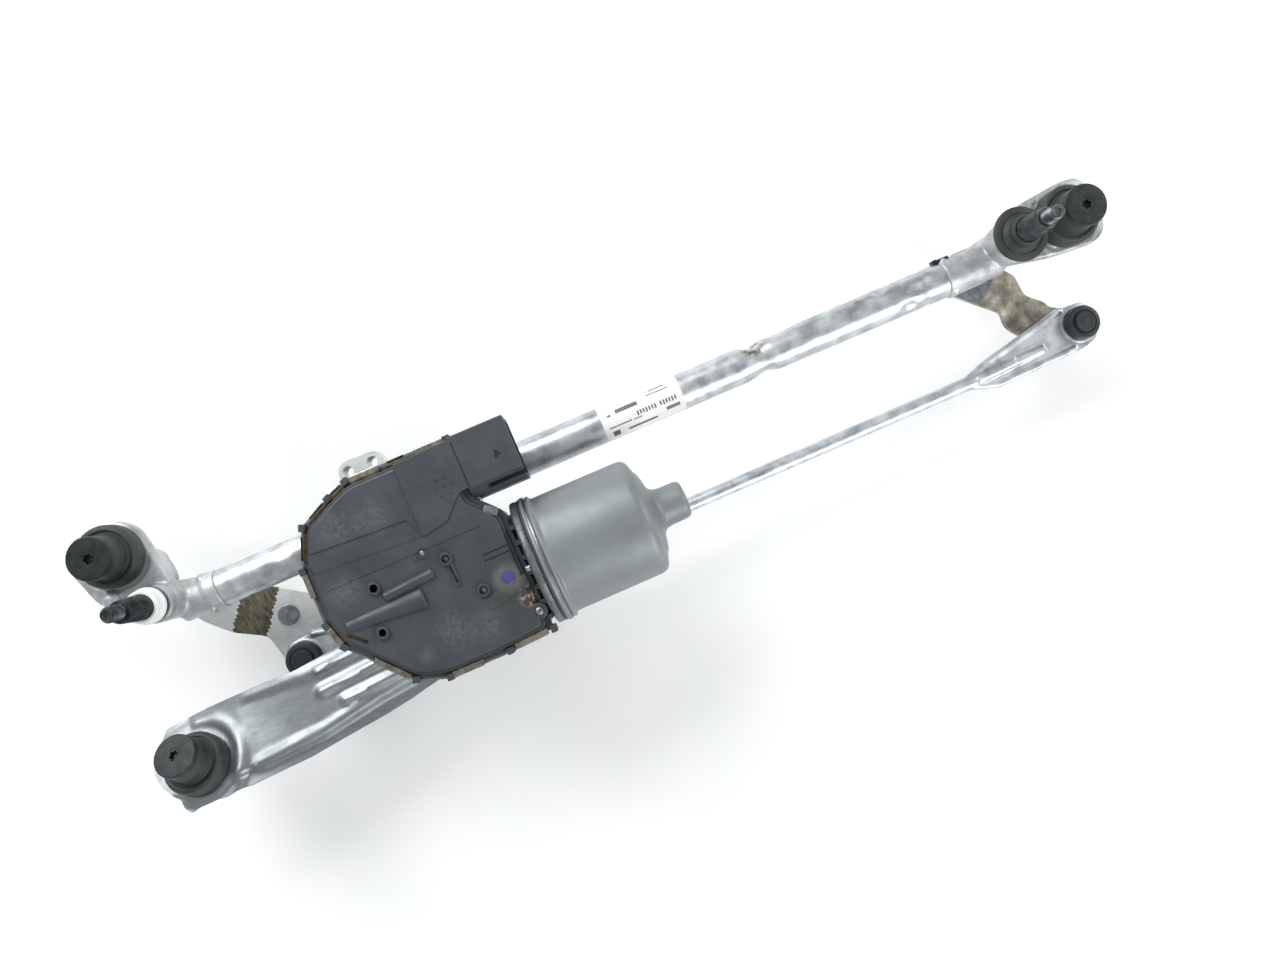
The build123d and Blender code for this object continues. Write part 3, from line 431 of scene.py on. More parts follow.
class Finish:
    """A material with one principled shader, and the shader nodes that feed it."""

    def __init__(self, name, **constants):
        self.made = FINISHES[name] = bpy.data.materials.new(name)
        self.made.use_nodes = True
        self.made.node_tree.nodes.clear()
        names = {key: "IOR" if key == "ior" else key.replace("_", " ").title() for key in constants}
        self.shader = self.add("BsdfPrincipled", {names[key]: value for key, value in constants.items()})
        self.add("OutputMaterial", None, {"Surface": self.shader.outputs["BSDF"]})
        self.place = self.add("TexCoord").outputs["Object"]

    def add(self, kind, settings=None, links=None):
        """Adds a shader node: settings go on it or on its sockets, and links bring other nodes' sockets in."""
        node = self.made.node_tree.nodes.new("ShaderNode" + kind)
        for key, value in (settings or {}).items():
            if isinstance(key, str) and hasattr(node, key):
                setattr(node, key, value)
            else:
                node.inputs[key].default_value = value
        for key, socket in (links or {}).items():
            self.made.node_tree.links.new(socket, node.inputs[key])
        return node

    def speckle(self, size_mm, detail=3.0, stretch=(1, 1, 1), turn=0.0):
        """Cloudy noise whose clouds are about a size in millimetres, drawn out along an axis if stretched."""
        mapped = self.add("Mapping", {"Scale": stretch, "Rotation": (0, 0, math.radians(turn))},
                          {"Vector": self.place})
        return self.add("TexNoise", {"Scale": 1000 / size_mm, "Detail": detail, "Roughness": 0.55},
                        {"Vector": mapped.outputs["Vector"]}).outputs["Fac"]

    def tones(self, value, *stops):
        """Colours along a value: (place, colour) pairs."""
        node = self.add("ValToRGB", None, {"Fac": value})
        marks = node.color_ramp.elements
        while len(marks) < len(stops):
            marks.new(0.5)
        for mark, (at, colour) in zip(marks, stops):
            mark.position = at
            mark.color = linear(colour) if isinstance(colour, str) else colour
        return node.outputs["Color"]

    def between(self, value, low, high, start=0.3, end=0.7):
        """A value moved from one range to another."""
        return self.add("MapRange", {"From Min": start, "From Max": end, "To Min": low, "To Max": high},
                        {"Value": value}).outputs["Result"]

    def shaded(self, colour, factor, amount):
        """A colour multiplied by grey where a factor is low."""
        return self.add("Mix", {"data_type": "RGBA", "blend_type": "MULTIPLY", 0: 1.0},
                        {6: colour, 7: self.between(factor, 1.0 - amount, 1.0)}).outputs[2]

    def stained(self, colour, mask, stain):
        """A colour with another laid over it where a mask is high."""
        return self.add("Mix", {"data_type": "RGBA", 7: linear(stain)}, {0: mask, 6: colour}).outputs[2]

    def patch(self, centre, radius_mm, soft, *mask):
        """A mask inside a round patch about a point in millimetres from HOME, fading to 0 at its rim."""
        far = self.add("VectorMath", {"operation": "DISTANCE", 1: TO_ROW @ Vector(centre)},
                       {0: self.place}).outputs["Value"]
        radius = radius_mm / 1000
        return self.add("Math", {"operation": "MULTIPLY"}, {
            0: self.between(far, 1.0, 0.0, radius * (1 - soft), radius), 1: self.between(*mask)}).outputs["Value"]

    def wired(self, colour, roughness, height, depth_mm, strength):
        """Joins the colour, the roughness and the bumps to the shader."""
        bump = self.add("Bump", {"Distance": depth_mm / 1000, "Strength": strength}, {"Height": height})
        for name, socket in (("Base Color", colour), ("Roughness", roughness), ("Normal", bump.outputs["Normal"])):
            if socket:
                self.made.node_tree.links.new(socket, self.shader.inputs[name])
        return self.made


def layered(name, clouds, stops, shades, rough, bump, stain=None, **constants):
    """A finish of the common kind: clouds of colour, darkened in finer clouds, with their gloss and their grain."""
    f = Finish(name, **constants)
    cloud = f.speckle(*clouds)
    colour = f.tones(cloud, *stops)
    for amount, *fine in shades:
        colour = f.shaded(colour, f.speckle(*fine), amount)
    if stain:
        colour = f.stained(colour, f.patch(stain, 9, 0.5, f.speckle(4), 0, 1, 0.42, 0.58), "#7a7157")
    low, high, *gloss = rough
    depth_mm, strength, *grain = bump
    return f.wired(colour, f.between(f.speckle(*gloss) if gloss else cloud, low, high),
                   f.speckle(*grain) if grain else cloud, depth_mm, strength)


def galvanised(name, pale, mid, dark, stain=None):
    """Hot-dip zinc: a cool bright metal with cloudy spangle, drawn streaks and small dull scuffs."""
    return layered(name, (9, 5), ((0.28, dark), (0.46, mid), (0.62, pale)),
                   ((0.14, 2.2, 3, (0.12, 1, 1)), (0.1, 0.9, 2)), (0.3, 0.46), (0.2, 0.4, 3.0, 4), stain, metallic=0.8)


def cast_finish(name, pale, mid, dark, grit=0.7):
    """Die-cast aluminium: a satin grey skin, finely sandy, darker where handling has dulled it."""
    return layered(name, (14, 5), ((0.3, dark), (0.5, mid), (0.68, pale)), ((0.25, 1.2, 4),), (0.38, 0.56, 5),
                   (0.12, 0.7, grit, 3), metallic=0.6)


def turned_steel(name, pale, dark, roughness=(0.3, 0.5), speck=0.25, metallic=1.0):
    """Machined steel with its protective coat: even, with fine turning marks and small specks of wear."""
    mark = (0.8, 2, (1, 1, 6))
    return layered(name, (4, 4), ((0.35, dark), (0.62, pale)), ((speck, 0.7, 3),), (*roughness, *mark),
                   (0.04, 0.5, *mark), metallic=metallic)


def copper(name, pale, dark, roughness=(0.25, 0.4)):
    """Copper or its alloy: warm metal, slightly darkened in clouds."""
    return layered(name, (3, 4), ((0.3, dark), (0.65, pale)), (), roughness, (0.05, 0.4, 0.6, 2), metallic=1.0)


def moulded(name, pale, dark, roughness=(0.4, 0.55), grain_mm=0.8, size_mm=12):
    """Injection-moulded plastic: an even colour with faint flow clouds and a fine sparked grain."""
    return layered(name, (size_mm, 4), ((0.3, dark), (0.7, pale)), ((0.08, grain_mm * 2, 2),), roughness,
                   (0.04, 0.5, grain_mm, 2), ior=1.5)


def single_finishes():
    """Finishes that one kind of piece has: rubbed sheet, mottled and rolled zinc plate, rubber, a cracked bend."""
    fleck = (1.6, 4)
    line = (1.8, 3, (0.1, 1, 1), 36)
    # Painted shade: dark olive-brown for the left lever's sloping bend, standing in for the shade on that slope.
    layered("browned bend", (1.2, 4, (1, 0.2, 1), 50), ((0.35, "#4c4637"), (0.65, "#7d7767")), (), (0.4, 0.6),
            (0.1, 0.5), metallic=0.7)
    return {
        "pressed_steel": layered(
            "pressed galvanised sheet", (26, 4, (0.5, 1, 1), 20),
            ((0.3, "#83898c"), (0.52, "#959b9e"), (0.7, "#a8aeb1")), ((0.16, 1.4, 3, (0.25, 1, 1), 12),),
            (0.34, 0.48, 12, 4), (0.3, 0.35, 5.0, 3), metallic=0.8),
        "yellow_zinc_steel": layered(
            "yellow passivated zinc", (7, 6), ((0.3, "#79746a"), (0.46, "#a19b8c"), (0.58, "#b5b09f"),
                                               (0.72, "#dddacf")),
            ((0.35, *fleck),), (0.35, 0.55, *fleck), (0.15, 0.6, *fleck), metallic=0.6),
        "bright_zinc": layered(
            "bright zinc plate", (11, 4), ((0.3, "#dadddd"), (0.6, "#eff1f1")), ((0.12, *line),),
            (0.3, 0.45, *line), (0.08, 0.4, *line), metallic=0.6),
        "black_rubber": layered(
            "moulded rubber", (7, 5), ((0.35, chosen("rubber")), (0.6, "#373d3b"), (0.78, "#4b514d")),
            ((0.2, 0.9, 3),), (0.5, 0.72), (0.06, 0.6, 0.8, 3), ior=1.52)}


def can_paint():
    """Grey cathodic paint on a drawn can: smooth, half gloss, with dust specks and a few dark pits."""
    f = Finish("grey motor paint", metallic=0.35, coat_weight=0.1, coat_roughness=0.3)
    colour = f.tones(f.speckle(30, 4), (0.3, "#777d7e"), (0.5, chosen("motor")), (0.72, "#868d8f"))
    pits = f.add("TexVoronoi", {"Scale": 1000 / 11, "Randomness": 1.0}, {"Vector": f.place})
    colour = f.stained(colour, f.between(pits.outputs["Distance"], 1.0, 0.0, 0.02, 0.06), "#5b6162")
    return f.wired(colour, f.between(f.speckle(8), 0.44, 0.56), f.speckle(2.5, 4), 0.12, 0.3)


def cover_finish():
    """Glass-filled nylon cover: charcoal blue, dustier and greener towards the motor, with pale rubbed smudges."""
    f = Finish("glass-filled nylon", ior=1.53)
    cloud = f.speckle(22, 5)
    colour = f.tones(cloud, (0.3, "#33383e"), (0.52, chosen("cover")), (0.75, "#464b52"))
    colour = f.stained(colour, f.patch((178, -78, DECK), 62, 0.9, cloud, 0.35, 0.9), "#343937")
    for x, y, radius in ((106, -2, 15), (124, -4, 12), (98, -33, 11), (140, -72, 13), (156, -76, 11),
                         (122, -78, 6)):
        rub = f.patch((x, y, DECK), radius, 0.8, f.speckle(2.0, 5), 0, 0.42)
        colour = f.stained(colour, rub, "#747577")
    halo = f.patch((*DOT, DECK), 9, 0.4, f.speckle(3), 0.35, 0.75)
    smear = f.patch((179, -71, DECK - 1), 6, 0.5, f.speckle(2.4), 0, 1, 0.45, 0.6)
    colour = f.stained(f.stained(colour, halo, "#6b6b64"), smear, "#a58a72")
    colour = f.shaded(colour, f.speckle(1.0, 4), 0.16)
    return f.wired(colour, f.between(f.speckle(9, 4), 0.42, 0.62), f.speckle(0.9, 3), 0.06, 0.5)


def board_finish():
    """Glass-epoxy circuit board: green solder mask with faint traces."""
    f = Finish("green solder mask", roughness=0.4, ior=1.5)
    mask = f.add("TexBrick", {"Scale": 1000 / 6, "Mortar Size": 0.03}, {"Vector": f.place}).outputs["Fac"]
    colour = f.stained(f.tones(f.speckle(8), (0.3, "#1f4a31"), (0.7, "#28603f")), mask, "#3c7a52")
    return f.wired(colour, None, mask, 0.05, 0.5)


def build_finishes():
    """Every finish, under the record's slot or the name that a piece asks for."""
    FINISHES.update(single_finishes())
    FINISHES.update({
        "galvanised_tube": galvanised("hot-dip galvanised tube", "#dbdfe1", "#c4c9cc", "#a3a9ac",
                                      stain=(341, TUBE_Y + 7, 6)),
        "label_film": moulded("white label film", "#f4f4f2", "#e9eae8", (0.35, 0.45)),
        "cast_aluminium": cast_finish("cast aluminium", "#d9dbdc", "#c0c3c4", "#9a9e9f"),
        "sintered_bronze": copper("sintered bronze", "#a98a58", "#80673e", (0.45, 0.6)),
        "zinc_steel": turned_steel("zinc-plated steel", "#a9adb0", "#878b8e"),
        "black_steel": turned_steel("black oxide steel", "#34393a", "#262a2b", (0.42, 0.58), 0.3, 0.45),
        "phosphated_steel": turned_steel("phosphated steel", "#63686a", "#3f4446", (0.4, 0.6), 0.5),
        "spring_steel": turned_steel("spring steel", "#6d7072", "#4c4f51"),
        "white_plastic": moulded("white acetal", "#f1f3f2", "#dfe2e1", (0.3, 0.45)),
        "socket_plastic": moulded("black acetal", "#34393b", "#272b2c", (0.38, 0.55), 0.9, 8),
        "gear_plastic": moulded("natural acetal gear", "#dcd7c4", "#cdc7b1", (0.35, 0.5)),
        "ferrite": turned_steel("ferrite", "#3b3b3d", "#29292b", (0.5, 0.65), 0.3, 0.2),
        "die_cast_aluminium": cast_finish("die-cast housing", "#8f9394", "#74787a", "#5a5e60", 0.9),
        "cover_plastic": cover_finish(),
        "tinned_copper": copper("tinned copper", "#d2d0c8", "#b4b1a6"),
        "board_laminate": board_finish(),
        "component_plastic": moulded("component epoxy", "#2b2c2e", "#1f2022"),
        "grey_yoke_paint": can_paint(),
        "lamination_steel": turned_steel("stacked laminations", "#8e9294", "#6c7072"),
        "enamelled_copper": copper("enamelled copper wire", "#b4572b", "#7e3717"),
        "copper_segments": copper("commutator copper", "#c98258", "#a3623d"),
        "carbon": moulded("pressed carbon", "#2c2c2c", "#1c1c1c", (0.55, 0.7)),
    })
    turned_steel("tab zinc", "#b5b1a6", "#8b867a", (0.25, 0.42), 0.2)
    turned_steel("tarnished tab", "#6a5d48", "#3d372b", (0.35, 0.5), 0.45)
    moulded("printing ink", "#6f7173", "#56585a", (0.4, 0.5))
    moulded("violet ink", "#4b4683", "#3f3a72", (0.45, 0.6), 0.9, 5)
    galvanised("rolled zinc rod", "#e3e8ec", "#cdd3d7", "#a9b0b5")
    turned_steel("speckled stud steel", "#85898a", "#55595b", (0.36, 0.55), 0.55)


def dress_carried_nodes():
    """Gives every node of the frame the finish of its slot, shown or not."""
    for name, item in frame["nodes"].items():
        item.data.materials.clear()
        item.data.materials.append(FINISHES[SLOT_OF[name]])
        item.data.shade_smooth()
        item.data.set_sharp_from_angle(angle=math.radians(30))


# --- frame tube and label
WAIST_X = 341.5
TUBE_DENTS = (                    # along the tube, degrees round it from +Y over the top, half sizes, depth
    (WAIST_X, 90, 11, 400, 1.2), (WAIST_X - 3, 0, 7, 60, 1.5), (WAIST_X + 4, 180, 8, 60, 1.5),
    (WAIST_X + 16, 0, 15, 50, 1.1), (WAIST_X + 78, 38, 6, 24, 1.1), (WAIST_X + 90, 132, 7, 26, 1.2),
    (WAIST_X + 66, 60, 9, 20, 0.7), (WAIST_X + 101, 80, 6, 24, 0.7), (64, 70, 6, 26, 0.6), (52, 120, 7, 22, 0.5),
)


def tube_radius(x, degrees):
    """The tube's outer radius at one place, with its pressed waist, its dents and its crimps."""
    radius = TUBE_R
    for at, angle, length, width, depth in TUBE_DENTS:
        turn = abs((degrees - angle + 180) % 360 - 180)
        radius -= depth * hump(abs(x - at) / length) * hump(turn / width)
    for crimp in (TUBE_LOW.x + 13, TUBE_HIGH.x - 13):
        radius -= 0.5 * max(0.0, 1 - abs(x - crimp) / 3.5)
    return radius


def make_tube():
    low, high = TUBE_LOW.x, TUBE_HIGH.x
    rows = int((high - low) / 2.0)
    bm = lathe([(TUBE_R, low + (high - low) * i / rows) for i in range(rows + 1)], 72)
    placed(bm, turn=ALONG_X)
    for v in bm.verts:
        turn = math.atan2(v.co.z, v.co.y)
        radius = tube_radius(v.co.x, math.degrees(turn)) + 0.06 * noise.noise(v.co * 0.08)
        v.co.y, v.co.z = radius * math.cos(turn) + TUBE_Y, radius * math.sin(turn)
    finished("galvanised_frame_tube", applied(bm, ("SOLIDIFY", {"thickness": 1.5, "offset": -1.0})), "frame_tube")


def on_tube(x0, x1, start, end, radius, thickness, corner=0.0):
    """A curved patch on the tube, between two lengths and two angles from the top towards +Y."""
    y0, y1 = math.radians(start) * TUBE_R, math.radians(end) * TUBE_R
    bm = under_face(slab([(x0, y0), (x1, y0), (x1, y1), (x0, y1)], 0, 1, corner))
    sliced(bm, (0, 1, 0), y0, y1, max(2, int(abs(end - start) / 6)))
    bmesh.ops.reverse_faces(bm, faces=bm.faces)
    for v in bm.verts:
        angle = v.co.y / TUBE_R
        v.co.y, v.co.z = TUBE_Y + radius * math.sin(angle), radius * math.cos(angle)
    return applied(bm, ("SOLIDIFY", {"thickness": thickness, "offset": -1.0}))


def make_label():
    low, high = reach("tube_label")
    lift = TUBE_R + 0.2
    finished("tube_label_film", on_tube(low.x, high.x, -75, 75, lift, 0.15, corner=2.5), "tube_label")
    lines = [(6, 19, 26, 13), (27, 36, 44, 40), (25, 38, 30, 27), (0, 13, -22, -26), (14, 19, -24, -27),
             (10, 27, -46, -54), (33, 41, -30, -41), (1, 5, -38, -58), (1, 3, 17, 11)]
    lines += [(17 + 1.7 * i, 17.9 + 1.7 * i, -4, -17 if i % 3 else -19) for i in range(14) if i != 7]
    start = low.x + 3
    marks = joined(*[on_tube(start + x0, start + x1, b, a, lift + 0.05, 0.06) for x0, x1, a, b in lines])
    finished("tube_label_bars", marks, "+tube_label", "printing ink")


def make_tube_clip():
    """Small sprung clip over the joint of the tube and the right casting."""
    x, y = TUBE_HIGH.x, TUBE_Y + TUBE_R
    strap = box(x - 1.5, x + 7, y - 0.8, y + 1.5, -2, 5, 0.5)
    hook = box(x - 2.5, x + 0.5, y - 0.8, y + 2, -1, 4, 0.4)
    finished("tube_joint_clip", joined(strap, hook), "+right_pivot_housing", "black_steel")


# --- castings
def socket_arm(x0, x1, r0, r1):
    """The part of a casting that runs to the tube."""
    bm = lathe([(0, x0), (r0, x0), (r0, x0 + (x1 - x0) * 0.62), (r1, x0 + (x1 - x0) * 0.72), (r1, x1), (0, x1)])
    return placed(bm, y=TUBE_Y, turn=ALONG_X)


def make_casting(side, x, outline, gusset, *parts):
    """A barrel with a lip and ring grooves, an ear with a low rim round the grommet's seat, and what joins them."""
    mount = (FROM_ROW @ middle(side + "_grommet")).xy
    barrel = lathe([(0, -29), (9.4, -29), (10, -28), (10, 17), (9.1, 18), (9.1, 20), (10, 21), (10, 25),
                    (8.4, 26), (8.4, 28), (0, 28)])
    rim = lathe([(18.5, -2), (21, -2), (20.3, 0.7), (19.0, 0.7)], closed=True, z=EAR_TOP)
    rim = combined(placed(rim, *mount), slab(grown(outline, -1.2), EAR_LOW, EAR_TOP + 4, corner=4.0), "INTERSECT")
    body = as_cast(joined(
        placed(barrel, x), parts[0], slab(outline, EAR_LOW, EAR_TOP, corner=5.0), rim,
        slab(grown(outline, -0.6), EAR_LOW - 2, EAR_LOW + 2, corner=4.5),
        slab(gusset, -2, EAR_LOW + 1, corner=2.0), *parts[1:]))
    bores = joined(post(x, 0, 7.83, -40, 40), post(*mount, 10.5, -10, 30), post(*mount, 14.5, -16, EAR_LOW))
    finished(side + "_pivot_casting", combined(body, bores), side + "_pivot_housing", sharp=50)


def web_and_rib(web, collar, low, reach_y, reach_z):
    """The upright web under a socket arm and the collar round it, each between two lengths."""
    return (box(*web, TUBE_Y - 1.3, TUBE_Y + 1.3, low, -4),
            box(*collar, TUBE_Y - reach_y, TUBE_Y + reach_y, -reach_z, reach_z))


def make_castings():
    make_casting(
        "left", 0, [(9, -6), (8, 12), (2, 43), (-9, 51), (-31, 48), (-39, 38), (-30, 11), (-8, -7)],
        [(1, 30), (5, 26), (7, 12), (0, -2), (-14, 6), (-6, 20)], socket_arm(2, TUBE_LOW.x, 9.8, 10.8),
        post(-22, 11, 4.5, -4, EAR_TOP + 3.5, 0.5), post(-22, 11, 2.6, EAR_TOP, EAR_TOP + 4.6, 0.4),
        *web_and_rib((2, 21), (17.5, 19.5), -12, 11.4, 7))
    s = RIGHT.x
    ties = [placed(lathe([(1.5, -1), (2.9, -1), (2.7, 0.9), (1.7, 0.9)], 32, True, EAR_TOP), x, y)
            for x, y in ((s + 22, 13.2), (s + 24, -9.7))]
    make_casting(
        "right", s, [(s - 6, -11), (s + 22, -17), (s + 48, -19), (s + 56, -12), (s + 53, 18), (s + 42, 20),
                     (s + 14, 17), (s - 8, 9)],
        [(s, -8), (s + 26, -10), (s + 18, -4), (s + 18, 2), (s + 26, 9), (s + 26, 13), (s, 4)],
        placed(socket_arm(0, s - 2 - TUBE_HIGH.x, 10.8, 10.2), TUBE_HIGH.x), *ties,
        *web_and_rib((s - 26, s - 8), (s - 34, s - 31.5), -12.5, 11.2, 6))


# --- grommets and body bolts
def seats():
    """Each mount's place: the seat's centre, and the way that its bolt leans."""
    left, right = FROM_ROW @ middle("left_grommet"), FROM_ROW @ middle("right_grommet")
    return {"left": Matrix.Translation((left.x, left.y, 3)), "right": Matrix.Translation((right.x, right.y, 3)),
            "lower": Matrix.Translation(LOWER_SEAT) @ Matrix.Rotation(math.radians(-ARM_LEAN), 4, "X")}


def grommet_shape(side):
    grip = 13.0 - (2.5 if side == "lower" else 8.0)
    return soften(lathe([
        (5.0, 1.5), (8.6, 1.5), (12.6, grip - 2.6), (13.8, grip - 1.2), (13.8, grip - 0.1), (10.4, grip),
        (10.4, 13), (15.6, 13), (16.5, 14), (16.5, 20.6), (16.0, 22.0), (14.6, 23.0), (13.4, 23.0),
        (13.0, 22.3), (12.4, 22.3), (12.0, 23.0), (11.6, 23.4), (11.3, 25.5), (11.0, 26.0), (11.2, 26.6),
        (11.1, 34.6), (10.6, 35.0), (5.0, 35.0)], 72, closed=True), 0.25)


def bolt_shape():
    """Captive bolt: a wide head with a six-lobed recess, a waisted shank and a threaded end."""
    head = lathe([(0, 34.9), (10.6, 34.9), (11.25, 35.5), (11.25, 38.2), (10.9, 38.8), (10.2, 39.0), (4.4, 39.0),
                  (4.1, 38.8), (0, 38.8)], 72)
    lobes = [((2.0 if i % 2 else 3.1) * math.cos(math.radians(30 * i)),
              (2.0 if i % 2 else 3.1) * math.sin(math.radians(30 * i))) for i in range(12)]
    head = combined(head, slab(lobes, 36.4, 41, corner=0.5))
    shank = lathe([(0, -0.5), (2.6, -0.5), (2.6, 35.2), (0, 35.2)], 32)
    tip = lathe([(0, -20), (2.0, -20), (2.5, -19.2), (2.5, 0), (0, 0)], 32)
    return joined(head, shank, tip, threaded(3.0, 1.0, -19.4, 0.4))


def make_bolts():
    for side, seat in seats().items():
        mark = "" if side == "left" else "+"
        sleeve = lathe([(3.5, 0), (9, 0), (9, 1.5), (5, 1.5), (5, 35), (3.5, 35)], 48, closed=True)
        for name, shape, node in (("rubber_grommet", grommet_shape(side), side + "_grommet"),
                                  ("body_bolt", bolt_shape(), mark + "body_bolts"),
                                  ("bolt_sleeve", soften(sleeve, 0.3), mark + "bolt_sleeves")):
            shape.transform(seat)
            finished(f"{side}_{name}", shape, node)


# --- bracket arm
ARM_LINE = ((-46, -84), (-14, -82), (10, -82), (44, -82.5), (78, -79), (114, -79), (180, -79))
ARM_HALF = ((-46, 20), (-14, 24), (10, 25), (44, 22.5), (78, 20.5), (102, 18), (180, 18))
ARM_TILT = ((-46, 28), (-14, 28), (10, 18), (44, 9), (78, 4), (102, 0), (180, 0))
ARM_RIBS = (((52, -66), (118, -60), 8, 0.8), ((50, -77), (118, -72.5), 9, 1.0), ((60, -86), (118, -83.5), 9, 0.9))
PLATE_TOP = -TUBE_R - 0.05


def pad_height(y):
    """Height of the tilted pad's upper face."""
    lean = math.radians(ARM_LEAN)
    rise = EAR_TOP - 3
    return LOWER_SEAT.z + rise * math.cos(lean) - (y - LOWER_SEAT.y - rise * math.sin(lean)) * math.tan(lean)


def arm_height(x, y):
    """Height of the arm's upper face: a tilted pad that twists flat towards the motor, ribbed and flanged."""
    spine = ((-46, pad_height(-84)), (-14, pad_height(-82)), (10, -1), (44, -3), (78, -7.5), (102, PLATE_TOP),
             (180, PLATE_TOP))
    aside = y - on_line(x, ARM_LINE)
    half = on_line(x, ARM_HALF)
    lean = math.radians(on_line(x, ARM_TILT))
    across = aside / math.cos(lean)
    z = on_line(x, spine) - aside * math.tan(lean)
    far = math.hypot(x + 21, y + 87.2)
    z += (pad_height(y) - z) * (1 - ramp(far, 18, 27))
    drop = 4.0 * ramp(-across, half - 7.5, half - 2.5) + 1.0 * ramp(across, half - 4, half)
    drop *= (1 - 0.8 * ramp(x, 98, 112)) * ramp(far, 16, 21)
    bead = ramp(far, 18.5, 21) * (1 - ramp(far, 23, 27)) * 1.3 if x > -21 else 0.0
    tray = (ramp(x, 4, 12) * (1 - ramp(x, 58, 84)) * ramp(across, -half + 10, -half + 13)
            * (1 - ramp(across, half - 9, half - 6)))
    ribs = sum(size("rib_height") * share * rib(x, y, start, end, width) for start, end, width, share in ARM_RIBS)
    return z - 1.3 * tray + ribs - drop + bead


def make_bracket():
    outline = [(-37, -62.6), (-40.5, -68.5), (-46.5, -76), (-46.7, -82), (-44, -89), (-38, -96.6), (-36, -99.8),
               (-35.5, -103.7), (-33, -107), (-12, -106.5), (2, -107), (33, -107), (58, -104.8), (77, -103.2),
               (93, -101), (112, -97), (114, -62), (100, -60.5), (78, -58.5), (64, -58.2), (53, -59.6),
               (40, -60.8), (16, -60.2), (-13, -60.8)]
    plate = slab([(103, -62), (106, -40), (96, 6), (100, 21), (156, 21), (158, 6), (146, -40), (176, -72),
                  (172, -88), (128, -91), (103, -93)], PLATE_TOP - 2.5, PLATE_TOP, corner=4.0, edge=0.4)
    sheet = joined(pressed(outline, arm_height, 2.3, corner=1.2), plate)
    hole = drum(10.45, -6, 24)
    hole.transform(seats()["lower"])
    for tool in (hole, post(SHAFT.x, SHAFT.y, 12, -30, 4)):
        sheet = combined(sheet, tool)
    finished("bracket_arm", sheet, "motor_bracket", sharp=45)


# --- spindles and levers
def knurled_cone(radius, top_radius, z0, z1):
    """Fine upright serrations on a cone."""
    teeth = bpy.context.scene.wiper_sizes.splines
    bm = lathe([(0, z0 + 0.4), (radius - 0.5, z0), (radius, z0 + 0.6), (radius - 0.02, z0 + 4),
                (top_radius, z1 - 0.8), (top_radius - 0.5, z1), (0, z1)], teeth * 2)
    for v in bm.verts:
        tooth = round(math.degrees(math.atan2(v.co.y, v.co.x)) / (180 / teeth))
        if tooth % 2 and z0 + 0.5 < v.co.z < z1 - 0.5:
            v.co.xy *= 0.93
    return bm


def make_spindles():
    for side, x, finish in (("left", 0.0, "phosphated_steel"), ("right", RIGHT.x, "speckled stud steel")):
        low, high = (corner.z for corner in reach(side + "_spindle"))
        shaft = lathe([
            (0, low), (5.9, low), (6.5, low + 0.6), (6.5, low + 2), (5, low + 2), (5, low + 5), (6.5, low + 5),
            (6.5, 29.5), (5.8, 29.5), (5.8, 30.7), (6.5, 30.7), (6.5, 41), (6.0, 42.2), (0, 42.2)], 64)
        core = lathe([(0, 61.5), (3.2, 61.5), (3.2, high - 1.2), (2.6, high), (1.2, high), (0.9, high - 0.5),
                      (0, high - 0.5)], 32)
        whole = joined(shaft, knurled_cone(6.45, 5.7, 42, 62), core,
                       threaded(4.0, size("stud_pitch"), 61.6, high - 0.8))
        finished(side + "_wiper_spindle", placed(whole, x), side + "_spindle", finish, sharp=30)


def make_collar_and_boot():
    low, high = (corner.z for corner in reach("left_spindle_collar"))
    top = high - low
    collar = lathe([
        (6.6, 0), (9.0, 0), (9.4, 0.4), (9.4, 2.6), (8.6, 3.2), (8.6, 4.4), (8.2, 4.8), (8.2, 5.6), (8.6, 6.0),
        (8.4, top - 0.6), (7.8, top), (6.6, top)], 64, True, low)
    finished("left_white_collar", soften(collar, 0.15), "left_spindle_collar")
    low, high = (corner.z for corner in reach("right_spindle_boot"))
    top = high - low
    boot = lathe([
        (6.6, 0), (14.2, 0), (15.0, 0.5), (14.8, 1.4), (13.6, 2.2), (11.5, 2.5), (10.6, 2.1), (9.6, 2.5),
        (8.8, 3.4), (8.0, 4.2), (7.9, 5.4), (8.2, 6.0), (8.0, top - 1), (7.5, top), (6.6, top)], 72, True, low)
    finished("right_rubber_boot", placed(soften(boot, 0.15), RIGHT.x), "right_spindle_boot")


def lever_height(x, y, turn, start, end):
    """Upper face of a lever that steps down across a bend line."""
    along = x * math.cos(turn) + y * math.sin(turn)
    return LEVER_ROOT + (LEVER_PLATE - LEVER_ROOT) * ramp(along, start - 1.5, end + 1.5)


def lever(outline, height, corner, *holes):
    sheet = pressed(outline, height, 3.0, corner=corner)
    for x, y, r in ((0, 0, 5.05), (*ROD_PIN, 4.0)) + holes:
        sheet = combined(sheet, post(x, y, r, -60, 0, steps=32))
    return sheet


def two_toned(piece, second, test):
    """Gives a second finish to the faces whose place passes a test."""
    piece.data.materials.append(FINISHES[second])
    for face in piece.data.polygons:
        face.material_index = int(test(FROM_ROW @ face.center))


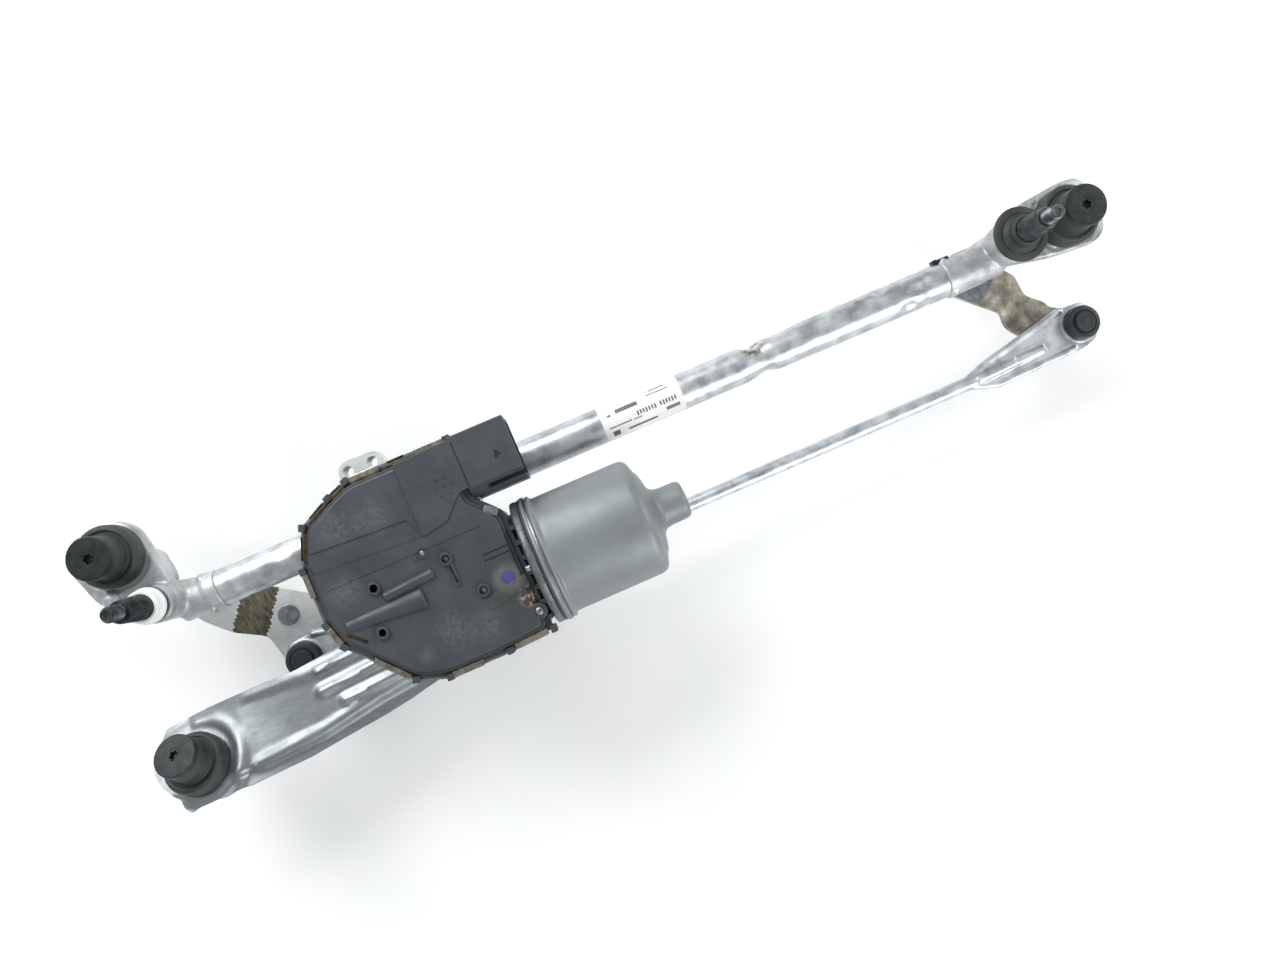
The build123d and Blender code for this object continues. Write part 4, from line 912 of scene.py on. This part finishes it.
def make_levers():
    left = [(-10, -4), (-4, -14.5), (9, -27.5), (25, -38), (29, -56), (34, -68), (46, -70), (55, -60),
            (62, -38), (58, -25.5), (40.8, -14.5), (9, 9), (-7, 10)]
    sheet = lever(left, lambda x, y: lever_height(x, y, LEVER_BEND, BEND_FROM, BEND_TO), 4.0, (*DRIVE_PIN, 4.0))
    # The faces on the bend's slope get the painted shade finish, a dark olive-brown band.
    two_toned(finished("left_bright_lever", sheet, "left_lever", "bright_zinc", 45), "browned bend", lambda spot: (
        BEND_FROM - 0.5 < spot.x * math.cos(LEVER_BEND) + spot.y * math.sin(LEVER_BEND) < BEND_TO + 0.5))
    rivet = soften(lathe([(2.4, -0.2), (4.6, -0.2), (4.4, 0.5), (2.6, 0.5)], 40, True, LEVER_PLATE), 0.1)
    finished("left_lever_rivet_ring", placed(rivet, *DRIVE_PIN), "+left_drive_pin")
    right = [(-24, -9), (-12, -20), (2.6, -33), (3, -37), (4.5, -43), (12, -51.5), (32, -68), (46, -70),
             (54, -62), (54, -52), (44, -46.5), (35, -42), (33, -37.5), (27, -32.5), (21.5, -28.5),
             (19.8, -22.5), (19.5, -16.5), (12, -7), (9, 10), (-12, 10)]
    sheet = lever(right, lambda x, y: (
        lever_height(x, y, math.radians(-50), 30, 42) + 0.5 * rib(x, y, (14, -20), (26, -40), 14)), 3.0)
    two_toned(finished("right_zinc_lever", placed(sheet, RIGHT.x), "right_lever", sharp=45), "zinc_steel",
              lambda spot: (spot.x - RIGHT.x) * 0.64 - spot.y * 0.77 + 1.5 * noise.noise(spot * 0.3) < 14)


# --- rods and ball sockets
def between_points(bm, a, b):
    """Lays a shape that was turned about Z along the line from one point to another."""
    bm.transform(Matrix.Translation(a) @ (b - a).to_track_quat("Z", "Y").to_matrix().to_4x4())
    return bm


def rod_eye(ball, way, z):
    """A flattened end: a thin web with raised, rolled edges that meet in the round bar."""
    def spot(x, y, lift):
        return Vector((ball.x + way * x, ball.y + y, z + lift))
    outline = [(-11, 6), (-6, 12), (10, 13), (63, ROD_SHIFT + 9), (77, ROD_SHIFT + 4.2), (77, ROD_SHIFT - 4.2),
               (63, ROD_SHIFT - 8), (4, -15), (-6, -12), (-11, -6)]
    parts = [slab([spot(*point, 0).xy for point in outline[::-way]], z - 1.3, z + 1.3, corner=2.0)]
    for side, start_y in ((1, 12), (-1, -12.8)):
        edge = [(8, start_y), (60, ROD_SHIFT + side * 7.6), (76, ROD_SHIFT + side * 2.5)]
        for start, end in zip(edge, edge[1:]):
            a, b = spot(*start, 0.8), spot(*end, 0.8)
            bar = lathe([(0, 0), (1.9, 0), (1.9, (b - a).length), (0, (b - a).length)], 20)
            parts.append(between_points(bar, a, b))
    tongue = lathe([(0, 0), (2.6, 0), (3.9, 45), (4.2, 50), (0, 50)], 24)
    parts.append(between_points(tongue, spot(26, ROD_SHIFT * 0.8, 0.2), spot(77, ROD_SHIFT, 0)))
    rim = lathe([(8.5, -1.6), (11.2, -1.6), (11.4, 1.2), (10.6, 2.0), (9.4, 1.6), (8.5, 1.2)], 48, True, z)
    return parts + [placed(rim, ball.x, ball.y)]


def make_long_rod():
    z = (FROM_ROW @ middle("long_rod")).z
    left = named_place(frame["joints"], "long_rod_turn")
    right = left + Vector((RIGHT.x, 0, 0))
    run_y = left.y + ROD_SHIFT
    run = lathe([(0, left.x + 70), (4.2, left.x + 72), (4.2, right.x - 72), (0, right.x - 70)], 32)
    run = placed(run, y=run_y, z=z, turn=ALONG_X)
    body = as_cast(joined(run, *rod_eye(left, 1, z), *rod_eye(right, -1, z)), 0.75, 4)
    for hole in (post(left.x, left.y, 8.0, z - 12, z + 12), post(right.x, right.y, 8.0, z - 12, z + 12),
                 post(right.x - 44, run_y + 2, 1.75, z - 12, z + 12, steps=24)):
        body = combined(body, hole)
    finished("long_drive_rod", body, "long_rod", "rolled zinc rod", sharp=50)


def make_sockets():
    """Snap-on ball cups, each with a raised button ringed like a target."""
    for node in ("long_rod_left_socket", "long_rod_right_socket", "short_rod_left_socket", "short_rod_crank_socket"):
        low, high = reach(node)
        cup = lathe([
            (6.1, 0), (9, 0), (9, 4.1), (8, 4.1), (8, 7.1), (9.6, 7.1), (10, 7.6), (10, 11.8), (9.7, 12.5),
            (9.0, 13.0), (7.2, 13.0), (6.9, 12.5), (6.5, 12.5), (6.2, 13.0), (6.0, 14.2), (5.6, 14.8), (4.2, 14.8),
            (3.9, 14.5), (2.4, 14.5), (2.1, 14.8), (0, 14.8)], 64)
        inside = lathe([(0, -1), (6.1, -1), (5.0, 2.6), (6.3, 4.4), (6.4, 6.6), (5.4, 9.2), (3.4, 11.0),
                        (0, 11.6)], 40)
        turn, foot = (None, low.z) if node.startswith("long") else (Matrix.Rotation(math.pi, 4, "X"), high.z)
        cup = placed(combined(cup, inside), (low.x + high.x) / 2, (low.y + high.y) / 2, foot, turn)
        finished(node + "_cap", cup, node)


# --- electronics cover
SCREWS = (149.2, -37.9), (160.2, -59.4), (181, -80)
STEMS = (111.5, -37.3), (107.1, -58.9)      # where the two fingers start
VENT = (139.7, -30.8)
DOT = (173.6, -58.5)
WIDE_FACE = 4e-6                  # square metres: faces of many sides above it are shaded flat
COVER = [(90, 4), (82, -16), (82, -45), (86, -58), (112, -87), (128, -92.5), (160, -92.5), (184, -91), (184, -27),
         (172, -14), (172, 17), (118, 17), (107, 12.5)]


def finger(start, end, r0, r1, z0, z1):
    """A raised half-round finger between two points."""
    length = (Vector(end) - Vector(start)).length
    body = lathe([(0, 0), (r0 * 0.6, 0.2), (r0, 1.2), (r1, length - 0.8), (r1 - 0.7, length), (0, length)], 32)
    for v in body.verts:
        v.co.x *= (z1 - z0) / max(r0, r1)
    return placed(body, *start, z0, facing(start, end) @ ALONG_X)


def cover_features():
    """What stands up from the cover's deck."""
    top, back = DECK, COVER_HIGH.z
    parts = [
        slab([(143, -23.5), (157, -21), (167.5, -10.5), (174, -10), (174, 16), (143, 15)], top - 1, top + 0.9,
             corner=1.2, edge=0.4),
        placed(slab([(28 - back, -16.5), (8 - back, -16.5), (-back, -10), (-back, 17), (28 - back, 17)],
                    COVER_HIGH.x - 29.5, COVER_HIGH.x, edge=0.6), turn=ALONG_X),
        finger((113.5, -43.4), (141.3, -41.6), 2.8, 3.0, top - 1, top + 2.4),
        finger((91, -50), (132.5, -51.2), 3.4, 5.8, top - 1.5, top + 3.0),
        slab([(148.3, -39), (151.6, -39), (151.6, -52), (148.6, -52.8)], top - 1, top + 1.1, corner=1.2, edge=0.3),
        slab([(157, -64), (182, -60), (182, -66.5), (160, -70)], top - 2, top + 0.4, corner=1.0, edge=0.2),
    ]
    parts += [post(*spot, 3.4, top - 1, top + 1.6, 0.35) for spot in SCREWS[:2]]
    parts += [post(*spot, 3.3, top - 1, top + 1.8, 0.4) for spot in STEMS]
    ring = lathe([(2.5, -1), (3.2, -1), (3.2, 0.3), (3.0, 0.5), (2.7, 0.5), (2.5, 0.2)], 32, True, top)
    parts += [placed(ring, *VENT), post(135.5, -31.8, 1.0, top - 1, top + 0.6, 0.2, 24)]
    for row, count in enumerate((1, 2, 3, 2, 1)):
        for i in range(count):
            parts.append(post(162 + (i - (count - 1) / 2) * 4.2, -4.4 + (2 - row) * 4.0, 0.85, top, top + 1.25,
                              0.2, 16))
    for a, b in zip(COVER, COVER[1:] + COVER[:1]):
        if min(a[0], b[0]) <= 171 or max(a[1], b[1]) <= -15:
            parts.append(placed(box(-1.9, 1.9, -1.7, 1.7, RIM - 3, RIM + 2.6, 0.4), *a, turn=facing(a, b)))
    parts += [box(183, 186, -86 + 8 * i, -83.5 + 8 * i, RIM - 10, RIM + 1.5, 0.3) for i in range(7)]
    return parts + [post(*SCREWS[2], 4.2, RIM - 2, DECK - 0.5, 0.5)]


def cover_cuts():
    """Grooves, holes and recesses of the cover."""
    top, back = DECK, COVER_HIGH.z
    cuts = [
        slab([(87, -20), (86.5, -9.5), (139, -12.5), (143.5, -24)], top - 0.7, top + 4, corner=0.5),
        box(173.4, 174.0, -13.5, 14, top + 0.2, top + 6),
        slab([(192, 2.5), (194.6, -0.6), (191, -2)], back - 1.2, back + 2, corner=0.4),
        box(COVER_HIGH.x - 20, COVER_HIGH.x + 2, -14, 14.5, back - 25.5, back - 2.5),
        slab([(150, -41.5), (151, -51), (149.6, -51.3), (148.9, -41.5)], top - 0.6, top + 4),
        box(89, 170, -30, -29.6, top - 0.25, top + 3),
    ]
    for spot, r, depth in zip(SCREWS + STEMS, (2.1, 2.1, 2.3, 2.1, 1.9), (5, 5, 5, 4, 4)):
        cuts.append(post(*spot, r, top - depth, top + 8, steps=24))
    return cuts + [box(166, 182, y, y + 0.8, top - 0.5, top + 3) for y in (-44, -47)]


def make_cover():
    skirt = slab(COVER, 44.5, RIM + 0.3, corner=2.0, edge=0.4)
    step = slab(grown(COVER, -2.6), RIM - 1, DECK - 2.2, corner=3.0, edge=0.5)
    deck = slab(grown(COVER, -4.0), RIM - 1, DECK, corner=3.0, edge=0.9)
    shell = combined(skirt, joined(step, deck, *cover_features()), "UNION", crossed=True)
    hollow = slab(grown(COVER, -7.0), 30, DECK - 2.2, corner=2.0)
    shell = combined(shell, combined(hollow, box(160, 220, -18.5, 40, 0, 90)))
    shell = combined(shell, joined(*cover_cuts()), crossed=True)
    cover = finished("moulded_electronics_cover", shell, "electronics_cover", sharp=34)
    for face in cover.data.polygons:
        if len(face.vertices) > 4 and face.area > WIDE_FACE:
            face.use_smooth = False
    pins = [placed(lathe([(0, 0), (2.0, 0), (2.0, 1.2), (1.2, 1.5), (0.8, 1.1), (0, 1.1)], 24), *spot, DECK - 1.6)
            for spot in SCREWS]
    pad = placed(box(-3.6, 3.6, -1.9, 1.9, RIM - 1, DECK - 0.2, 0.3), 178.6, -24.6, turn=about_z(-39))
    for name, shape, finish in (
            ("cover_screw_heads", joined(*pins), "zinc_steel"),
            ("inspection_dot", post(*DOT, 3.4, DECK - 0.3, DECK + 0.12, 0.08), "violet ink"),
            ("vent_pin", post(*VENT, 1.1, DECK - 0.4, DECK + 0.5, 0.3, 24), "tinned_copper"),
            ("rim_pad", pad, "zinc_steel")):
        finished(name, shape, "+electronics_cover", finish)


def clamp_tab(start, end, depth=1.7, out=1.2, hung=True):
    """A tab folded over the rim, with the strip that it hangs on outside the wall."""
    half = (Vector(end) - Vector(start)).length / 2
    tab = box(-half, half, -out, depth, RIM + 0.6, RIM + 2.3, 0.35)
    if hung:
        tab = joined(tab, box(1 - half, half - 1, -1.5, -0.3, RIM - 11, RIM + out, 0.3))
    return placed(tab, *(Vector(start) + Vector(end)) / 2, turn=facing(start, end))


def make_clamp():
    wall = slab(grown(COVER, 1.2), RIM - 11, RIM - 1.2, corner=2.0)
    for tool in (slab(grown(COVER, 0.3), RIM - 20, RIM + 9, corner=1.6),
                 joined(box(168, 215, -13, 30, RIM - 20, RIM + 9), box(176, 215, -100, 0, RIM - 20, RIM + 9))):
        wall = combined(wall, tool)
    bright = [((171, 17), (155, 17)), ((136, 17), (120, 17)), ((82, -17), (82, -30)), ((97, -70), (110, -85)),
              ((129, -92.4), (146, -92.5)), ((163, -92), (181, -91.3)), ((82.6, -47), (85.4, -56.5))]
    dull = [((150, 17), (139, 17)), ((116, 16.2), (108, 13)), ((104.5, 11.3), (94, 5.8)), ((88.6, 1), (83.6, -12)),
            ((173.5, -21.5), (170.5, -15.5))]
    strip = placed(box(-5.5, 5.5, -0.9, 0.9, DECK - 0.4, DECK + 0.2, 0.1), 94.5, -56.5, turn=about_z(-42))
    tabs = [clamp_tab(*t, 3.4, -0.9) for t in dull] + [clamp_tab(*t, 2.9, -1.75, False) for t in bright]
    finished("clamp_band", joined(wall, *[clamp_tab(*t) for t in bright]), "cover_clamp_band", "tab zinc")
    finished("clamp_tabs_tarnished", joined(strip, *tabs), "+cover_clamp_band", "tarnished tab")


# --- gear housing and motor
def make_housing():
    low = reach("gear_housing")[0].z
    ribs = [placed(box(9, 44, -1.2, 1.2, 7.0, 13), SHAFT.x, SHAFT.y, turn=about_z(turn + 12))
            for turn in range(0, 360, 40)]
    boss = lathe([(9, low + 1), (11, low + 4), (14, 9), (16, 13), (9, 13)], 48, closed=True)
    web = combined(joined(*ribs, post(168, -30, 4.2, 4, 14), post(98, -62, 4.2, 4, 14)),
                   slab(grown(COVER, -2.0), 5, 14, corner=2.0), "INTERSECT", crossed=True)
    clear = joined(placed(drum(TUBE_R + 0.4, 70, 190), y=TUBE_Y, turn=ALONG_X),
                   post(SHAFT.x, SHAFT.y, 7.4, low - 2, 22))
    body = as_cast(joined(copied("gear_housing"), web, placed(boss, SHAFT.x, SHAFT.y)), 1.3, 3)
    finished("cast_gear_housing", combined(body, clear), "gear_housing", sharp=50)


def make_motor():
    end = YOKE_HIGH.x - YOKE_LOW.x
    can = lathe([
        (29.9, 0), (33.6, 0), (34.0, 0.4), (34.0, 1.6), (33.5, 2.0), (32.6, 2.4), (32.6, 3.0), (33.3, 3.4),
        (33.6, 3.9), (33.4, 4.8), (32.5, 5.3), (31.8, 5.7), (31.5, 6.6), (31.5, 53), (31.3, 55.2), (30.5, 57.2),
        (28.9, 58.6), (26.8, 59.3), (23.5, 60.4), (21.5, 61.6), (18.5, 62.5), (14.5, 63.2), (12.2, 64.2),
        (10.9, 66), (10.4, 68.5), (10.25, end - 3), (9.8, end - 1.2), (8.6, end - 0.2), (7.4, end), (0, end),
        (0, end - 1.6), (7.5, end - 1.6), (8.6, end - 4), (8.6, 61), (26, 57.5), (29.9, 52)], 96, z=YOKE_LOW.x)
    for v in can.verts:
        if math.hypot(v.co.x, v.co.y) > 31 and v.co.z > YOKE_LOW.x + 8:
            v.co.xy *= 1 + 0.0012 * noise.noise(v.co * 0.05)
    seam = lathe([(31.9, 1.9), (33.9, 1.9), (33.9, 2.5), (31.9, 2.5)], 96, True, YOKE_LOW.x)
    for shape in (can, seam):
        placed(shape, y=MOTOR_Y, z=MOTOR_Z, turn=ALONG_X)
    finished("drawn_motor_can", can, "motor_yoke", sharp=55)
    finished("motor_rim_ring", seam, "+motor_yoke", "zinc_steel")


def make_lug():
    """One plate with two eyes, standing out from under the rim."""
    low, high = reach("lug_plate")
    x = (low.x + high.x) / 2
    outline = [(x - 11.5, low.y), (x + 11.5, low.y), (x + 12.2, 22), (x + 11, 27.6), (x + 6, high.y),
               (x + 1, high.y - 0.8), (x - 5, high.y), (x - 10, 28), (x - 12.2, 22.5)]
    eyes = joined(*[post(x + aside, 23.2, 2.75, 0, 40, steps=32) for aside in (-6.6, 6.6)])
    plate = combined(slab(outline, low.z, high.z, corner=2.5), eyes)
    finished("two_eyed_lug", soften(plate, 0.3), "lug_plate", "bright_zinc")


def make_small_parts():
    """Small parts whose own shape is right: a merged copy with rounded edges."""
    for node in ("crank_arm", "crank_nut", "short_rod", "housing_screws", "left_rod_pin",
                 "right_rod_pin", "left_drive_pin", "crank_pin"):
        finished(node + "_rounded", copied(node, size("edge")), node)


# --- stage
CAMERA_PLACE = (224.7, -41.7, 530.0)
CAMERA_TURN = (1.492, -2.980, -23.380)      # degrees
FLOOR_GAP = 0.012                 # metres between the lowest point and the floor
LAMPS = (("key", (-0.45, 1.15, 0.85), 0.9, 20), ("fill", (0.5, -1.25, 0.8), 0.9, 14), ("rim", (1.4, 0.2, 0.7), 0.7, 7))


def make_stage():
    low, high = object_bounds()
    spot = (low + high) / 2
    floor = bmesh.new()
    bmesh.ops.create_grid(floor, x_segments=2, y_segments=2, size=4.0)
    floor.transform(Matrix.Translation((spot.x, spot.y, low.z - FLOOR_GAP)))
    f = Finish("matt paper", roughness=0.9)
    colour = f.tones(f.speckle(60), (0.3, chosen("floor")), (0.7, "#fbfbfb"))
    f.made.node_tree.links.new(colour, f.shader.inputs["Base Color"])
    item = as_object(floor, "studio_floor")
    item.data.materials.append(f.made)
    item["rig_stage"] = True
    scene = bpy.context.scene
    scene.world = bpy.data.worlds.new("studio")
    scene.world.use_nodes = True
    sky = scene.world.node_tree.nodes["Background"].inputs
    sky["Color"].default_value = linear("#eef1f3")
    sky["Strength"].default_value = 0.5
    for name, place, width, power in LAMPS:
        lamp = linked(name, bpy.data.lights.new(name, "AREA"))
        lamp.data.energy, lamp.data.size = power, width
        lamp.location = spot + Vector(place)
        lamp.rotation_euler = (spot - lamp.location).to_track_quat("-Z", "Y").to_euler()
    scene.camera = linked("camera", bpy.data.cameras.new("camera"))
    scene.camera.data.lens, scene.camera.data.sensor_width = 27.0, 36.0
    scene.camera.location = TO_ROW @ Vector(CAMERA_PLACE)
    scene.camera.rotation_euler = [math.radians(a) for a in CAMERA_TURN]
    scene.view_settings.view_transform = "Standard"


# --- operators
def operator(key, label, text, *steps):
    """An operator class that runs some steps in order."""
    def execute(self, context):
        for step in steps:
            step()
        return {"FINISHED"}
    return type("WIPER_OT_" + key, (bpy.types.Operator,), {
        "__doc__": text, "bl_idname": "wiper." + key, "bl_label": label, "execute": execute})


OPERATORS = (
    operator("finishes", "Finishes", "Build every finish and put it on the carried nodes",
             build_finishes, dress_carried_nodes),
    operator("tube", "Frame tube", "Tube, label and clip", make_tube, make_label, make_tube_clip),
    operator("castings", "Pivot castings", "Left and right castings", make_castings),
    operator("bolts", "Grommets and bolts", "Rubber grommets, sleeves and captive bolts", make_bolts),
    operator("bracket", "Bracket arm", "Pressed arm with its ribs", make_bracket),
    operator("spindles", "Spindles", "Knurled spindles, collar and boot", make_spindles, make_collar_and_boot),
    operator("levers", "Levers", "Pressed levers with their bends", make_levers),
    operator("rods", "Rods", "Long rod and the ball sockets", make_long_rod, make_sockets),
    operator("cover", "Electronics cover", "Cover, marks and clamp", make_cover, make_clamp),
    operator("motor", "Motor and housing", "Gear housing and motor can", make_housing, make_motor),
    operator("small", "Small parts", "Crank, pins, lug and screws", make_lug, make_small_parts),
    operator("stage", "Stage", "Floor, light and camera", make_stage),
)


class WIPER_PT_panel(bpy.types.Panel):
    """Lists the steps and the settings."""
    bl_idname = "WIPER_PT_panel"
    bl_label = "Wiper drive"
    bl_space_type = "VIEW_3D"
    bl_region_type = "UI"
    bl_category = "Wiper"

    def draw(self, context):
        for item in OPERATORS:
            self.layout.operator(item.bl_idname)
        for group in (context.scene.wiper_sizes, context.scene.wiper_colours):
            for key in group.bl_rna.properties.keys():
                if key not in ("rna_type", "name"):
                    self.layout.prop(group, key)


CLASSES = (WiperSizes, WiperColours) + OPERATORS + (WIPER_PT_panel,)


def register():
    for item in CLASSES:
        bpy.utils.register_class(item)
    bpy.types.Scene.wiper_sizes = bpy.props.PointerProperty(type=WiperSizes)
    bpy.types.Scene.wiper_colours = bpy.props.PointerProperty(type=WiperColours)


def unregister():
    del bpy.types.Scene.wiper_colours
    del bpy.types.Scene.wiper_sizes
    for item in reversed(CLASSES):
        bpy.utils.unregister_class(item)


def main():
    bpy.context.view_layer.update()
    register()
    for item in OPERATORS:
        getattr(bpy.ops.wiper, item.bl_idname.split(".")[1])()


if __name__ == "__main__":
    main()
